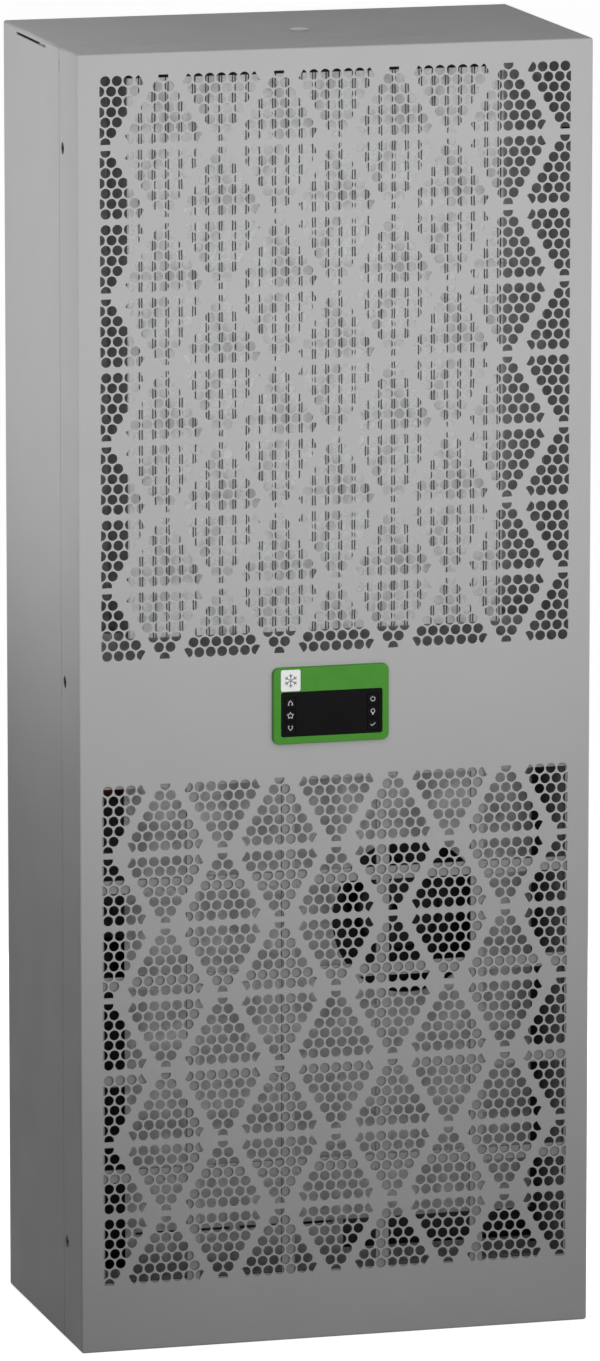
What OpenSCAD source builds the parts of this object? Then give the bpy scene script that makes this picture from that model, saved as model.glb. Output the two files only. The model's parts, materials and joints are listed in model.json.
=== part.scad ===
// Enclosure cooling unit: a slim sheet steel cabinet with a perforated front cover.
// The front (ambient) side is at -Y, the face that meets the enclosure is at +Y, +Z is up.
// The origin is on the floor, in the middle of the cabinet.

/* [Cabinet] */
// Width over the side panels
cabinet_w = 404; // [400:1:440]
// Height from the floor to the top panel
cabinet_h = 1000; // [990:1:1060]
// Depth from the front sheet to the back edges
cabinet_d = 228; // [224:1:260]
// Thickness of the sheet steel
sheet = 1.5; // [1:0.1:2]
// Depth of the front cover's folded sides
cover_depth = 54; // [51:1:56]
// Gap of the seam between the cover and the cabinet
seam = 0.8; // [0.4:0.1:1.2]
// Set-back of the back panel, which takes the seal
back_recess = 4; // [3:0.5:6]

/* [Perforation] */
// Distance between neighbouring hole centres
hole_pitch = 9; // [8.4:0.1:9.2]
// Diameter of one hole
hole_d = 7.5; // [6:0.1:7.8]
// Rows of holes in one triangle
hole_rows = 7; // [5:1:7]
// Sheet left between two strips, from hole centre to hole centre
strip_bar = 12; // [11:0.5:14]
// Height of the blank band between the two grilles, at least
band_min = 100; // [96:1:140]
// From the top edge to the first row of hole centres
grille_top_margin = 20.7; // [18:0.1:26]
// From the floor to the lowest row of hole centres
grille_bottom_margin = 56.1; // [50:0.1:60]
// Blank margin at each side of the perforation
grille_side_margin = 17.5; // [15:0.5:30]

/* [Controller] */
// Width of the coloured bezel
bezel_w = 91.4; // [88:0.1:100]
// Height of the coloured bezel
bezel_h = 59.1; // [56:0.1:66]
// How far the bezel stands in front of the sheet
bezel_proud = 3.5; // [3.2:0.1:5]
// Width of the black window
window_w = 80.2; // [78:0.1:84]
// Height of the black window
window_h = 34.6; // [34:0.1:40]
// Width and height of one key cap
key_size = 8.4; // [7:0.1:8.6]
// How far a key travels
key_travel = 0.5; // [0.3:0.1:0.6]
// Gap round a key cap
key_gap = 0.3; // [0.2:0.05:0.4]

/* [Air openings] */
// Diameter of the inlet in the lower inner plate
fan_inlet_d = 122; // [100:1:126]
// Diameter of the warm air port in the back panel
warm_port_d = 156; // [120:1:160]
// Width of the evaporator left and right of the cold air port
cold_port_side = 10; // [8:1:40]
// Height of the cold air port in the back panel
cold_port_h = 62; // [40:1:70]

/* [Refrigeration] */
// Diameter of the compressor shell
compressor_d = 104; // [90:1:106]
// Height of the compressor shell
compressor_h = 236; // [200:1:260]
// Gap between the condenser and the side panels
condenser_side = 53.5; // [50.5:0.5:70]
// Thickness of the condenser
condenser_t = 25; // [20:1:26]
// Width of one strip of condenser fins with its gap
fin_pitch = 10.5; // [9:0.5:12]
// Gap between the evaporator and the side panels
evaporator_side = 60.5; // [56:0.5:70]
// Gap between the evaporator's hood and the axial fan
evaporator_fan_gap = 36.5; // [30:0.5:70]
// Outer diameter of the copper pipes
pipe_d = 10; // [8:1:10]

/* [Fans] */
// Diameter of the radial fan wheel
wheel_d = 190; // [180:1:196]
// Diameter of the axial fan rotor
rotor_d = 150; // [120:1:152]
// Blades on each rotor
blades = 7; // [5:1:9]
// Diameter of the motor shafts
shaft_d = 8; // [6:0.5:10]
// Gap all round a shaft in its bearing
shaft_gap = 0.05; // [0.02:0.01:0.09]

/* [Hidden] */
$fn = 48;
over = 1;
front_y = -cabinet_d/2;
half_w = cabinet_w/2;
inner_half = half_w - sheet;
body_depth = cover_depth + seam;
back_outer = cabinet_d - back_recess;
back_inner = back_outer - sheet;
roof_z = cabinet_h - sheet;

// Colours
paint = "#b4b5b5";
zinc = "#8f9294";
copper = "#b8734a";
black = "#1b1b1d";
fin_grey = "#a9adb0";

// Perforation
row_step = hole_pitch*sqrt(3)/2;
hole_r = hole_d/2;
corner_cut = 1.2;
apex_tuck = hole_r - corner_cut;
field_h = (hole_rows - 1)*row_step - apex_tuck;
strip_step = field_h + strip_bar;
corner_half = (2*hole_r - corner_cut)*tan(30);
triangle_half = (hole_rows - 1)*hole_pitch/2;
triangle_step = triangle_half + 2*hole_pitch;
grille_half = half_w - grille_side_margin;
last_column = floor(grille_half/triangle_step);
upper_top = cabinet_h - grille_top_margin;
strips_h = upper_top - grille_bottom_margin - band_min + 2*strip_bar;
strips = floor(strips_h/strip_step);
upper_strips = ceil(strips/2);
lower_strips = strips - upper_strips;
upper_bottom = upper_top - (upper_strips - 1)*strip_step - field_h;
lower_bottom = grille_bottom_margin;
lower_top = lower_bottom + (lower_strips - 1)*strip_step + field_h;

// Cover screws
screw_z_share = [0.078, 0.515, 0.924];
screw_setback = 9.5;
screw_depth = cover_depth - screw_setback;
screw_thread_r = 2.5;
screw_head_r = 4.2;
screw_head_h = 1;
screw_hole_r = 4.9;
screw_l = 9;
screw_key_r = 1.7;
screw_key_h = 0.6;
lip_reach = 20;
lip_hold = 18;
lip_end = 12;
seam_slit_h = 9;
seam_slit_w = 1;

// Slot along the top of the left panel
slot_l = 91;
slot_h = 2.2;
slot_drop = 2.4;
slot_depth = 96;

// Lifting insert and its plug, over the centre of the cabinet
wall_depth = 118;
lift_forward = 12;
lift_depth = wall_depth - lift_forward;
lift_r = 5;
lift_flange_r = 6.5;
lift_h = 16;
lift_thread_r = 3.4;
plug_r = 7;
plug_rise = 1.3;
plug_shoulder_share = 0.75;
plug_stem_r = 3.2;
plug_stem_h = 8;
flange_t = 1;

// Rear mounting inserts
nut_inset = 22;
nut_z_low = 45;
nut_x = half_w - nut_inset;
nut_z_high = cabinet_h - nut_z_low;
nut_z_mid = (nut_z_low + nut_z_high)/2;
nut_r = 4.5;
nut_flange_r = 6.5;
nut_thread_r = 2.5;
nut_l = 15;

// Rear seal
seal_w = 10;
seal_gap = 0.5;

// Filter grid behind the lower grille
grid_pitch = 75.2;
grid_bar = 10;
grid_t = 8;
grid_raise = 0.7;
grid_columns = round((2*grille_half - grid_bar)/grid_pitch);
grid_rows = round((lower_top - lower_bottom - grid_bar)/grid_pitch);
grid_w = grid_columns*grid_pitch;
grid_h = grid_rows*grid_pitch;
grid_z = lower_bottom + grid_raise + (grid_h + grid_bar)/2;
grid_low_gap = 2.5;
grid_high_gap = 1;
grid_low = lower_bottom - grid_low_gap - grid_bar;
grid_high = lower_top + grid_high_gap + grid_bar;
grid_clip_w = 24;
grid_clip_h = 4;

// Lower inner plate with the fan inlet
plate_depth = 90;
plate_left_gap = 56.5;
plate_left = -inner_half + plate_left_gap;
plate_gap = 17.5;
plate_right = inner_half - plate_gap;
plate_foot_z = 42;
plate_top_raise = 1;
plate_top_z = upper_bottom + plate_top_raise;
plate_shoulder_drop = 84.5;
plate_shoulder_z = plate_top_z - plate_shoulder_drop;
plate_slot_w = 169.5;
plate_slot_x = inner_half - plate_slot_w;
plate_slot_z = 47;
plate_slot_h = 23;
plate_slit_h = 2;
plate_bridge = 8;
plate_slit_w = (plate_slot_x - plate_left - 3*plate_bridge)/2;
plate_back = plate_depth + sheet;
fan_side = 117.5;
fan_x = inner_half - fan_side;
fan_z = 309;
inlet_r = fan_inlet_d/2;
ring_wall = 3;
ring_reach = 14;
ring_entry = 3;
ring_flange = 5;
ring_flange_t = 2;

// Radial condenser fan
wheel_r = wheel_d/2;
wheel_front = plate_back + ring_reach - ring_entry;
wheel_t = 2;
wheel_gap = 4;
wheel_eye_r = inlet_r + ring_wall + wheel_gap;
wheel_l = 42;
wheel_back = wheel_front + wheel_l;
wheel_hub_r = 34;
wheel_hub_l = 30;
vane_lean = 48;
vane_t = 2;
vane_inset = 1;
vane_in_r = wheel_eye_r + vane_inset;
vane_length_share = 1.4;
motor_gap = 2;
motor_r = 40;
motor_l = 30;
motor_front = wheel_back + motor_gap;
motor_back = motor_front + motor_l;
shaft_r = shaft_d/2;
bore_r = shaft_r + shaft_gap;
shaft_l = 24;
post_offset = 76;
post_r = 4;
carrier_edge = 8;
carrier_half = post_offset + carrier_edge;

// Compressor and its mounting
comp_gap = 1.5;
comp_r = compressor_d/2;
comp_side = 28.5;
comp_x = -(inner_half - comp_side - comp_r);
comp_depth = plate_back + comp_gap + comp_r;
comp_foot_z = 30;
comp_plate_t = 3;
comp_z = comp_foot_z + comp_plate_t;
comp_dome = 22;
comp_foot_reach = 10;
comp_foot_r = comp_r + comp_foot_reach;
comp_plate_share = 0.86;
can_base_share = 0.8;
can_bevel_share = 0.6;
comp_pad_r = 9;
grommet_r = 7.5;
foot_bolt_r = 3;
foot_bolt_head_r = 6;
foot_bolt_head_h = 4;
cap_r = 19;
cap_h = 20;
comp_top = comp_z + compressor_h;

// Suction accumulator
acc_r = 22;
acc_gap = 6;
acc_x = comp_x + comp_r + acc_gap + acc_r;
acc_pipe_r = 4;
acc_z = 62;
acc_h = 138;
acc_dome = 10;

// Upper chamber
floor_z = 438.5;
floor_top = floor_z + sheet;
pipe_r = pipe_d/2;
pipe_bend = 2*pipe_d;
pass_gap = 3;

// Condenser
cond_gap = 4;
cond_raise = 2;
cond_drop = 6;
cond_front = cover_depth + cond_gap;
cond_half = inner_half - condenser_side;
cond_low = upper_bottom + cond_raise;
cond_high = upper_top - cond_drop;
cond_back = cond_front + condenser_t;
fin_slit = 1.5;
fin_slit_t = 5;
port_low_gap = 36;
port_high_gap = 31;
port_low = cond_low + port_low_gap;
port_high = cond_high - port_high_gap;

// Evaporator
evap_depth = 150;
evap_t = 28;
evap_half = inner_half - evaporator_side;
evap_raise = 40;
evap_low = floor_top + evap_raise;
evap_mid = evap_depth + evap_t/2;
cold_port_raise = 20;
cold_port_half = evap_half - cold_port_side;
bend_pitch = 43.5;
bend_tube_r = 4;
bend_r = 12;
bend_first = 42;

// Condensate tray
tray_wall = 2;
tray_h = 22;
tray_leg_h = 6;
tray_leg_w = 20;
tray_wrap = 8;
tray_side = 22;
tray_z = floor_top + tray_leg_h;
tray_depth = evap_depth - tray_wrap;
tray_end = evap_depth + evap_t + tray_wrap;
tray_half = evap_half + tray_side;
drain_gap = 32;
drain_x = acc_x + drain_gap;
drain_r = 6;
drain_bore = 4;
drain_depth = (tray_depth + tray_end)/2;

// Axial evaporator fan
axial_x = 0;
axial_drop = 136.5;
axial_z = roof_z - axial_drop;
axial_r = rotor_d/2;
tip_gap = 3;
axial_ring_t = 4;
axial_ring_r = axial_r + tip_gap + axial_ring_t;
axial_l = 42;
axial_front = back_inner - axial_l;
axial_hub_r = 33;
axial_hub_l = 24;
evap_high = axial_z - axial_ring_r - evaporator_fan_gap - sheet;
bend_span = evap_high - evap_low - 2*bend_first;
bends = floor(bend_span/bend_pitch);
axial_motor_t = 6;
axial_hub_gap = 3;
axial_hub_front = axial_front + axial_motor_t + axial_hub_gap;
axial_shaft_l = 26;
blade_lean = 38;
blade_t = 2.4;
blade_w = 30;
strut_w = 8;
ear_distance = 96;
ear_r = 7;
ear_t = 4;
ear_screw_r = 2.2;
ear_head_r = 4;
ear_head_h = 2.6;
guard_wire = 2;
guard_edge = 6;
guard_rings = 4;
guard_step = (warm_port_d/2 - guard_edge)/guard_rings;
guard_lap = 9;

// Electrics
ebox_side = 10.5;
ebox_from_drain = 34;
ebox_x = drain_x + ebox_from_drain;
ebox_w = inner_half - ebox_side - ebox_x;
ebox_depth = 122;
ebox_gap = 1;
ebox_l = back_outer - nut_l - ebox_gap - ebox_depth;
ebox_h = 180;
ebox_wall = 2;
ebox_z = sheet;
lid_t = 2;
cap_can_r = 17;
cap_can_h = 78;
block_side = 22;
block_w = ebox_w - 2*block_side;
block_h = 14;
block_l = 22;
block_z = 110;
pole_pitch = 14.9;
poles = floor(block_w/pole_pitch);
pole_r = 3;
pole_deep = 8;
grommet_x = ebox_x + ebox_w/2;
grommet_z = 60;
cable_hole_r = 10;
cable_bore_r = 6.5;
cable_rim_r = 13;
cable_rim_t = 2;

// Drier and capillary
riser_depth = 104;
drier_x = -50;
drier_r = 9;
drier_z = 388;
drier_h = 84;
drier_neck = 12;
capillary_r = 1.6;
capillary_bend = 8;
liquid_r = 3;
liquid_bend = 8;
suction_gap = 5;
suction_drop = 34.5;
suction_x = -tray_half - suction_gap - pipe_r;
suction_z = floor_z - suction_drop;

// Controller
ctrl_x = -5;
ctrl_raise = 7.4;
ctrl_z = (upper_bottom + lower_top)/2 + ctrl_raise;
bezel_r = 5;
window_rise = 5.6;
window_shift = 0.5;
window_t = 2;
window_sink = 0.5;
window_lip = 1.2;
win_x = ctrl_x + window_shift;
win_z = ctrl_z - bezel_h/2 + window_rise + window_h/2;
bezel_cover = 3.6;
case_w = bezel_w - 2*bezel_cover;
case_h = bezel_h - 2*bezel_cover;
case_l = 42;
case_wall = 1.6;
case_gap = 0.4;
board_depth = 4;
board_t = 1.6;
switch_r = 1.75;
clip_w = 3;
clip_h = 20;
clip_l = 22;
key_inset = 7.5;
key_drop = 0.8;
key_flange = 0.7;
key_flange_t = 0.8;
key_flange_gap = 0.1;
key_dx = window_w/2 - key_inset;
key_dz = key_size + 2*key_flange + key_flange_gap;
key_stem_r = 2.2;
window_front = window_sink - bezel_proud;
window_back = window_front + window_t;
key_flange_back = window_back + key_gap/2 + key_flange_t;
key_stem_l = 2;
switch_front = key_flange_back + key_stem_l + key_travel;
key_stem_end = switch_front - key_travel - key_gap/2;

// Places and basic shapes: a depth is measured from the front sheet towards the back
function at_depth(d) = front_y + d;

module block(x0, x1, d0, d1, z0, z1) {
  translate([x0, at_depth(d0), z0]) cube([x1 - x0, d1 - d0, z1 - z0]);
}

module facing(d0, d1) {
  translate([0, at_depth(d1), 0]) rotate([90, 0, 0]) linear_extrude(d1 - d0) children();
}

module rod_y(x, z, r, d0, d1) {
  translate([x, at_depth(d1), z]) rotate([90, 0, 0]) cylinder(r = r, h = d1 - d0);
}

module rod_z(x, d, r, z0, z1) {
  translate([x, at_depth(d), z0]) cylinder(r = r, h = z1 - z0);
}

module rounded(w, h, r) {
  square([w - 2*r, h], center = true);
  square([w, h - 2*r], center = true);
  for (sx = [-1, 1], sz = [-1, 1]) translate([sx*(w/2 - r), sz*(h/2 - r)]) circle(r);
}

// A pipe through points given as [x, depth, z], its runs along the axes, with bends of radius b
function place(p) = [p[0], at_depth(p[1]), p[2]];
function unit(v) = v/norm(v);

module run(a, b, r) {
  v = b - a;
  turn_y = acos(v[2]/norm(v));
  turn_z = atan2(v[1], v[0]);
  translate(a) rotate([0, turn_y, turn_z]) cylinder(r = r, h = norm(v));
}

module elbow(p, a, b, r, bend) {
  c = p + (b - a)*bend;
  n = cross(a, b);
  multmatrix([
    [-b[0], a[0], n[0], c[0]],
    [-b[1], a[1], n[1], c[1]],
    [-b[2], a[2], n[2], c[2]],
    [0, 0, 0, 1]
  ]) rotate_extrude(angle = 90) translate([bend, 0]) circle(r);
}

module pipe(route, r, bend) {
  pts = [for (p = route) place(p)];
  last = len(pts) - 1;
  for (i = [0:last - 1]) {
    dir = unit(pts[i + 1] - pts[i]);
    start = pts[i] + dir*(i == 0 ? 0 : bend);
    end = pts[i + 1] - dir*(i == last - 1 ? 0 : bend);
    run(start, end, r);
  }
  for (i = [1:last - 1])
    elbow(pts[i], unit(pts[i] - pts[i - 1]), unit(pts[i + 1] - pts[i]), r, bend);
}

// Perforation: each triangle of holes is cut as one opening with clipped corners
function clipped_corner(c, dir) = [for (s = [-1, 1]) [
  c[0] + corner_cut*cos(dir) - s*corner_half*sin(dir),
  c[1] + corner_cut*sin(dir) + s*corner_half*cos(dir)
]];

module hanging_triangle() {
  polygon(concat(
    clipped_corner([triangle_half, 0], 30),
    clipped_corner([-triangle_half, 0], 150),
    clipped_corner([0, -(hole_rows - 1)*row_step], 270)
  ));
}

module grille_field(top, strips) {
  for (i = [0:strips - 1], k = [-last_column:last_column])
    translate([k*triangle_step, top - i*strip_step])
      if ((k + i)%2 == 0) hanging_triangle();
      else translate([0, -field_h]) mirror([0, 1]) hanging_triangle();
}

module perforation() {
  intersection() {
    union() {
      grille_field(upper_top, upper_strips);
      grille_field(lower_top, lower_strips);
    }
    translate([-grille_half, 0]) square([2*grille_half, cabinet_h]);
  }
}

module screw_places() {
  for (s = [-1, 1], share = screw_z_share)
    translate([s*half_w, at_depth(screw_depth), share*cabinet_h]) rotate([0, -s*90, 0])
      children();
}

// Cabinet
module front_cover() {
  color(paint) facing(0, sheet) difference() {
    translate([-half_w, 0]) square([cabinet_w, cabinet_h]);
    perforation();
    translate([ctrl_x, ctrl_z]) square([case_w, case_h], center = true);
  }
}

module cover_sides() {
  color(paint) difference() {
    block(-half_w, half_w, sheet, cover_depth, 0, cabinet_h);
    block(-inner_half, inner_half, sheet - over, cover_depth + over, sheet, roof_z);
    screw_places() translate([0, 0, -over]) cylinder(r = screw_hole_r, h = sheet + 2*over);
    for (s = [-1, 1])
      block(min(s*half_w, s*inner_half) - over, max(s*half_w, s*inner_half) + over,
        cover_depth - seam_slit_w, cover_depth + over,
        roof_z - 2*seam_slit_h, roof_z - seam_slit_h);
  }
}

module cover_screws() {
  color(black) screw_places() difference() {
    union() {
      translate([0, 0, sheet - screw_head_h]) cylinder(r = screw_head_r, h = screw_head_h);
      translate([0, 0, sheet]) cylinder(r = screw_thread_r, h = screw_l);
    }
    translate([0, 0, sheet - screw_head_h - over])
      cylinder(r = screw_key_r, h = screw_key_h + over, $fn = 6);
  }
}

module cover_lips() {
  color(paint) for (s = [-1, 1]) difference() {
    block(s > 0 ? inner_half - sheet : -inner_half, s > 0 ? inner_half : sheet - inner_half,
      cover_depth - lip_reach, body_depth + lip_hold, lip_end, cabinet_h - lip_end);
    screw_places() cylinder(r = screw_thread_r, h = 2*sheet + over);
  }
}

module side_panel() {
  block(-half_w, -inner_half, body_depth, cabinet_d, 0, cabinet_h);
}

module left_panel() {
  color(paint) difference() {
    side_panel();
    block(-half_w - over, -inner_half + over, slot_depth, slot_depth + slot_l,
      roof_z - slot_drop - slot_h, roof_z - slot_drop);
  }
}

module right_panel() {
  color(paint) mirror([1, 0, 0]) side_panel();
}

module top_panel() {
  color(paint) difference() {
    block(-inner_half, inner_half, body_depth, cabinet_d, roof_z, cabinet_h);
    rod_z(0, lift_depth, lift_r, roof_z - over, cabinet_h + over);
  }
}

module bottom_panel() {
  color(paint) difference() {
    block(-inner_half, inner_half, body_depth, cabinet_d, 0, sheet);
    rod_z(drain_x, drain_depth, drain_r + pass_gap, -over, sheet + over);
  }
}

module nut_places(rows) {
  for (s = [-1, 1], z = rows) translate([s*nut_x, at_depth(back_outer), z]) rotate([90, 0, 0])
    children();
}

module back_panel() {
  color(zinc) difference() {
    block(-inner_half, inner_half, back_inner, back_outer, sheet, roof_z);
    rod_y(axial_x, axial_z, warm_port_d/2, back_inner - over, back_outer + over);
    block(-cold_port_half, cold_port_half, back_inner - over, back_outer + over,
      evap_low + cold_port_raise, evap_low + cold_port_raise + cold_port_h);
    nut_places([nut_z_low, nut_z_mid, nut_z_high])
      translate([0, 0, -over]) cylinder(r = nut_r, h = sheet + 2*over);
    ear_places() cylinder(r = ear_screw_r, h = 2*(sheet + over), center = true);
    rod_y(grommet_x, grommet_z, cable_hole_r, back_inner - over, back_outer + over);
  }
}

module rear_seal() {
  edge = inner_half - seal_gap;
  color(black) {
    for (s = [-1, 1])
      block(min(s*edge, s*(edge - seal_w)), max(s*edge, s*(edge - seal_w)),
        back_outer, cabinet_d, sheet + seal_gap, roof_z - seal_gap);
    for (z = [sheet + seal_gap, roof_z - seal_gap - seal_w])
      block(-edge + seal_w + seal_gap, edge - seal_w - seal_gap, back_outer, cabinet_d,
        z, z + seal_w);
  }
}

module insert(r, flange_r, thread_r, l) {
  difference() {
    union() {
      cylinder(r = r, h = l);
      translate([0, 0, -flange_t]) cylinder(r = flange_r, h = flange_t);
    }
    translate([0, 0, -flange_t - over]) cylinder(r = thread_r, h = l + flange_t + 2*over);
  }
}

module rear_inserts() {
  color(zinc) nut_places([nut_z_low, nut_z_mid, nut_z_high])
    insert(nut_r, nut_flange_r, nut_thread_r, nut_l);
}

module lifting_insert() {
  color(zinc) translate([0, at_depth(lift_depth), roof_z]) mirror([0, 0, 1]) difference() {
    union() {
      translate([0, 0, -sheet]) cylinder(r = lift_r, h = lift_h);
      cylinder(r = lift_flange_r, h = flange_t);
    }
    translate([0, 0, -sheet - over]) cylinder(r = lift_thread_r, h = lift_h + 2*over);
  }
}

module lifting_plug() {
  color(paint) translate([0, at_depth(lift_depth), cabinet_h]) rotate_extrude() polygon([
    [0, -plug_stem_h], [plug_stem_r, -plug_stem_h], [plug_stem_r, 0], [plug_r, 0],
    [plug_r, plug_rise/3], [plug_r*cos(30), plug_rise*plug_shoulder_share],
    [plug_r/2, plug_rise], [0, plug_rise]
  ]);
}

// Lower front: filter grid and the plate with the fan inlet
module filter_grid() {
  cell = grid_pitch - grid_bar;
  color(fin_grey) facing(sheet, sheet + grid_t) difference() {
    translate([-(grid_w + grid_bar)/2, grid_low]) square([grid_w + grid_bar, grid_high - grid_low]);
    for (i = [0:grid_columns - 1], j = [0:grid_rows - 1]) {
      bar_z = grid_z - grid_h/2 + j*grid_pitch;
      z0 = j == 0 ? grid_low + grid_bar : bar_z + grid_bar/2;
      z1 = j == grid_rows - 1 ? grid_high - grid_bar : bar_z + grid_pitch - grid_bar/2;
      translate([(i + 0.5)*grid_pitch - grid_w/2 - cell/2, z0]) square([cell, z1 - z0]);
    }
  }
}

module grid_clips() {
  color(zinc) for (sx = [-1, 1], sz = [-1, 1]) {
    x = sx*grid_w/4;
    z = sz > 0 ? grid_high : grid_low;
    difference() {
      block(x - grid_clip_w/2, x + grid_clip_w/2, sheet, sheet + grid_t + sheet,
        z - grid_clip_h, z + grid_clip_h);
      block(x - grid_clip_w/2 - over, x + grid_clip_w/2 + over, sheet - over, sheet + grid_t,
        sz > 0 ? z - grid_clip_h - over : z, sz > 0 ? z : z + grid_clip_h + over);
    }
  }
}

module inner_plate() {
  color(zinc) difference() {
    facing(plate_depth, plate_back) difference() {
      union() {
        translate([-inner_half, sheet]) square([2*inner_half, plate_foot_z - sheet]);
        translate([plate_left, sheet]) square([plate_right - plate_left, plate_top_z - sheet]);
        translate([-inner_half, plate_shoulder_z])
          square([2*inner_half, plate_top_z - plate_shoulder_z]);
      }
      translate([fan_x, fan_z]) circle(inlet_r);
      translate([plate_slot_x, plate_slot_z]) square([inner_half - plate_slot_x, plate_slot_h]);
      for (i = [0, 1])
        translate([plate_left + plate_bridge + i*(plate_slit_w + plate_bridge),
          plate_slot_z + plate_slot_h - plate_slit_h]) square([plate_slit_w, plate_slit_h]);
    }
  }
}

module inlet_ring() {
  color(black) translate([fan_x, at_depth(plate_back), fan_z]) rotate([-90, 0, 0])
    rotate_extrude() polygon([
      [inlet_r, 0], [inlet_r + ring_wall + ring_flange, 0],
      [inlet_r + ring_wall + ring_flange, ring_flange_t], [inlet_r + ring_wall, ring_flange_t],
      [inlet_r + ring_wall, ring_reach], [inlet_r, ring_reach]
    ]);
}

// Condenser behind the upper grille
module condenser_core() {
  slits = floor((2*cond_half - fin_pitch/2)/fin_pitch);
  color(fin_grey) difference() {
    block(-cond_half, cond_half, cond_front, cond_back, cond_low, cond_high);
    for (i = [0:slits - 1]) {
      x = (i - (slits - 1)/2)*fin_pitch;
      block(x - fin_slit/2, x + fin_slit/2, cond_front - over, cond_front + fin_slit_t,
        cond_low - over, cond_high + over);
    }
  }
}

module condenser_ends() {
  color(zinc) for (s = [-1, 1])
    block(s > 0 ? cond_half : -cond_half - sheet, s > 0 ? cond_half + sheet : -cond_half,
      cond_front, wall_depth, cond_low, cond_high);
}

// Radial condenser fan
module condenser_fan_wheel() {
  vane_mid = (vane_in_r + wheel_r)/2;
  color(black) translate([fan_x, at_depth(wheel_front), fan_z]) rotate([-90, 0, 0]) {
    difference() {
      cylinder(r = wheel_r, h = wheel_t);
      translate([0, 0, -over]) cylinder(r = wheel_eye_r, h = wheel_t + 2*over);
    }
    translate([0, 0, wheel_l - wheel_t]) cylinder(r = wheel_r, h = wheel_t);
    translate([0, 0, wheel_l - wheel_hub_l]) cylinder(r = wheel_hub_r, h = wheel_hub_l);
    translate([0, 0, wheel_l]) cylinder(r = shaft_r, h = shaft_l);
    intersection() {
      for (i = [0:blades - 1]) rotate(i*360/blades) translate([vane_mid, 0, wheel_l/2])
        rotate(vane_lean)
          cube([vane_length_share*(wheel_r - vane_in_r), vane_t, wheel_l - wheel_t], center = true);
      difference() {
        cylinder(r = wheel_r - vane_t, h = wheel_l - wheel_t/2);
        translate([0, 0, wheel_t/2 - wheel_l]) cylinder(r = wheel_r, h = wheel_l);
        translate([0, 0, -over]) cylinder(r = wheel_eye_r - vane_t, h = wheel_l + 2*over);
      }
    }
  }
}

module condenser_fan_motor() {
  color(zinc) difference() {
    union() {
      rod_y(fan_x, fan_z, motor_r, motor_front, motor_back);
      rod_y(fan_x, fan_z, motor_r/2, motor_back - over, motor_back + sheet);
    }
    rod_y(fan_x, fan_z, bore_r, motor_front - over, motor_front + shaft_l);
  }
}

module post_places() {
  for (sx = [-1, 1], sz = [-1, 1]) translate([sx*post_offset, 0, sz*post_offset]) children();
}

module fan_posts() {
  color(zinc) post_places() rod_y(fan_x, fan_z, post_r, plate_back, motor_back);
}

module motor_carrier() {
  color(zinc) facing(motor_back, motor_back + sheet) translate([fan_x, fan_z]) difference() {
    square(2*carrier_half, center = true);
    circle(motor_r/2);
    for (a = [0:90:270]) rotate(a) translate([(carrier_half + motor_r)/2, 0])
      square([(carrier_half - motor_r)/2, carrier_half], center = true);
  }
}

// Partition between the ambient side and the enclosure side
module partition_wall() {
  color(zinc) block(-inner_half, inner_half, wall_depth, wall_depth + sheet, floor_top, roof_z);
}

module chamber_floor() {
  color(zinc) difference() {
    block(-inner_half, inner_half, wall_depth, back_inner, floor_z, floor_top);
    rod_z(suction_x, evap_mid, pipe_r + pass_gap, floor_z - over, floor_top + over);
    rod_z(drain_x, drain_depth, drain_r + pass_gap, floor_z - over, floor_top + over);
    rod_z(drier_x, wall_depth + drier_r, capillary_r + pass_gap, floor_z - over, floor_top + over);
  }
}

// Evaporator, its tray and its fan
module evaporator_core() {
  color(fin_grey) block(-evap_half, evap_half, evap_depth, evap_depth + evap_t, evap_low, evap_high);
}

module evaporator_hood() {
  color(zinc) difference() {
    block(-evap_half - sheet, evap_half + sheet, evap_depth, back_inner, evap_low, evap_high + sheet);
    block(-evap_half, evap_half, evap_depth - over, back_inner + over, evap_low - over, evap_high);
  }
}

module evaporator_bends() {
  color(copper) for (i = [0:bends]) {
    z = (evap_low + evap_high)/2 + (i - bends/2)*bend_pitch;
    translate([evap_half + sheet, at_depth(evap_mid), z]) rotate([90, 0, 0])
      rotate([0, 0, -90]) rotate_extrude(angle = 180) translate([bend_r, 0]) circle(bend_tube_r);
  }
}

module condensate_tray() {
  color("#d8dadb") {
    difference() {
      block(-tray_half, tray_half, tray_depth, tray_end, tray_z, tray_z + tray_h);
      block(-tray_half + tray_wall, tray_half - tray_wall, tray_depth + tray_wall,
        tray_end - tray_wall, tray_z + tray_wall, tray_z + tray_h + over);
      rod_z(drain_x, drain_depth, drain_bore, tray_z - over, tray_z + tray_wall + over);
    }
    for (s = [-1, 1])
      block(s*(tray_half - tray_leg_w) - tray_leg_w/2, s*(tray_half - tray_leg_w) + tray_leg_w/2,
        tray_depth, tray_end, floor_top, tray_z);
  }
}

module drain_pipe() {
  color("#d8dadb") difference() {
    rod_z(drain_x, drain_depth, drain_r, 0, tray_z);
    rod_z(drain_x, drain_depth, drain_bore, -over, tray_z + over);
  }
}

module ear_places() {
  for (a = [45:90:315]) translate([axial_x, at_depth(back_inner), axial_z]) rotate([90, 0, 0])
    rotate(a) translate([ear_distance, 0, 0]) children();
}

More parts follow.
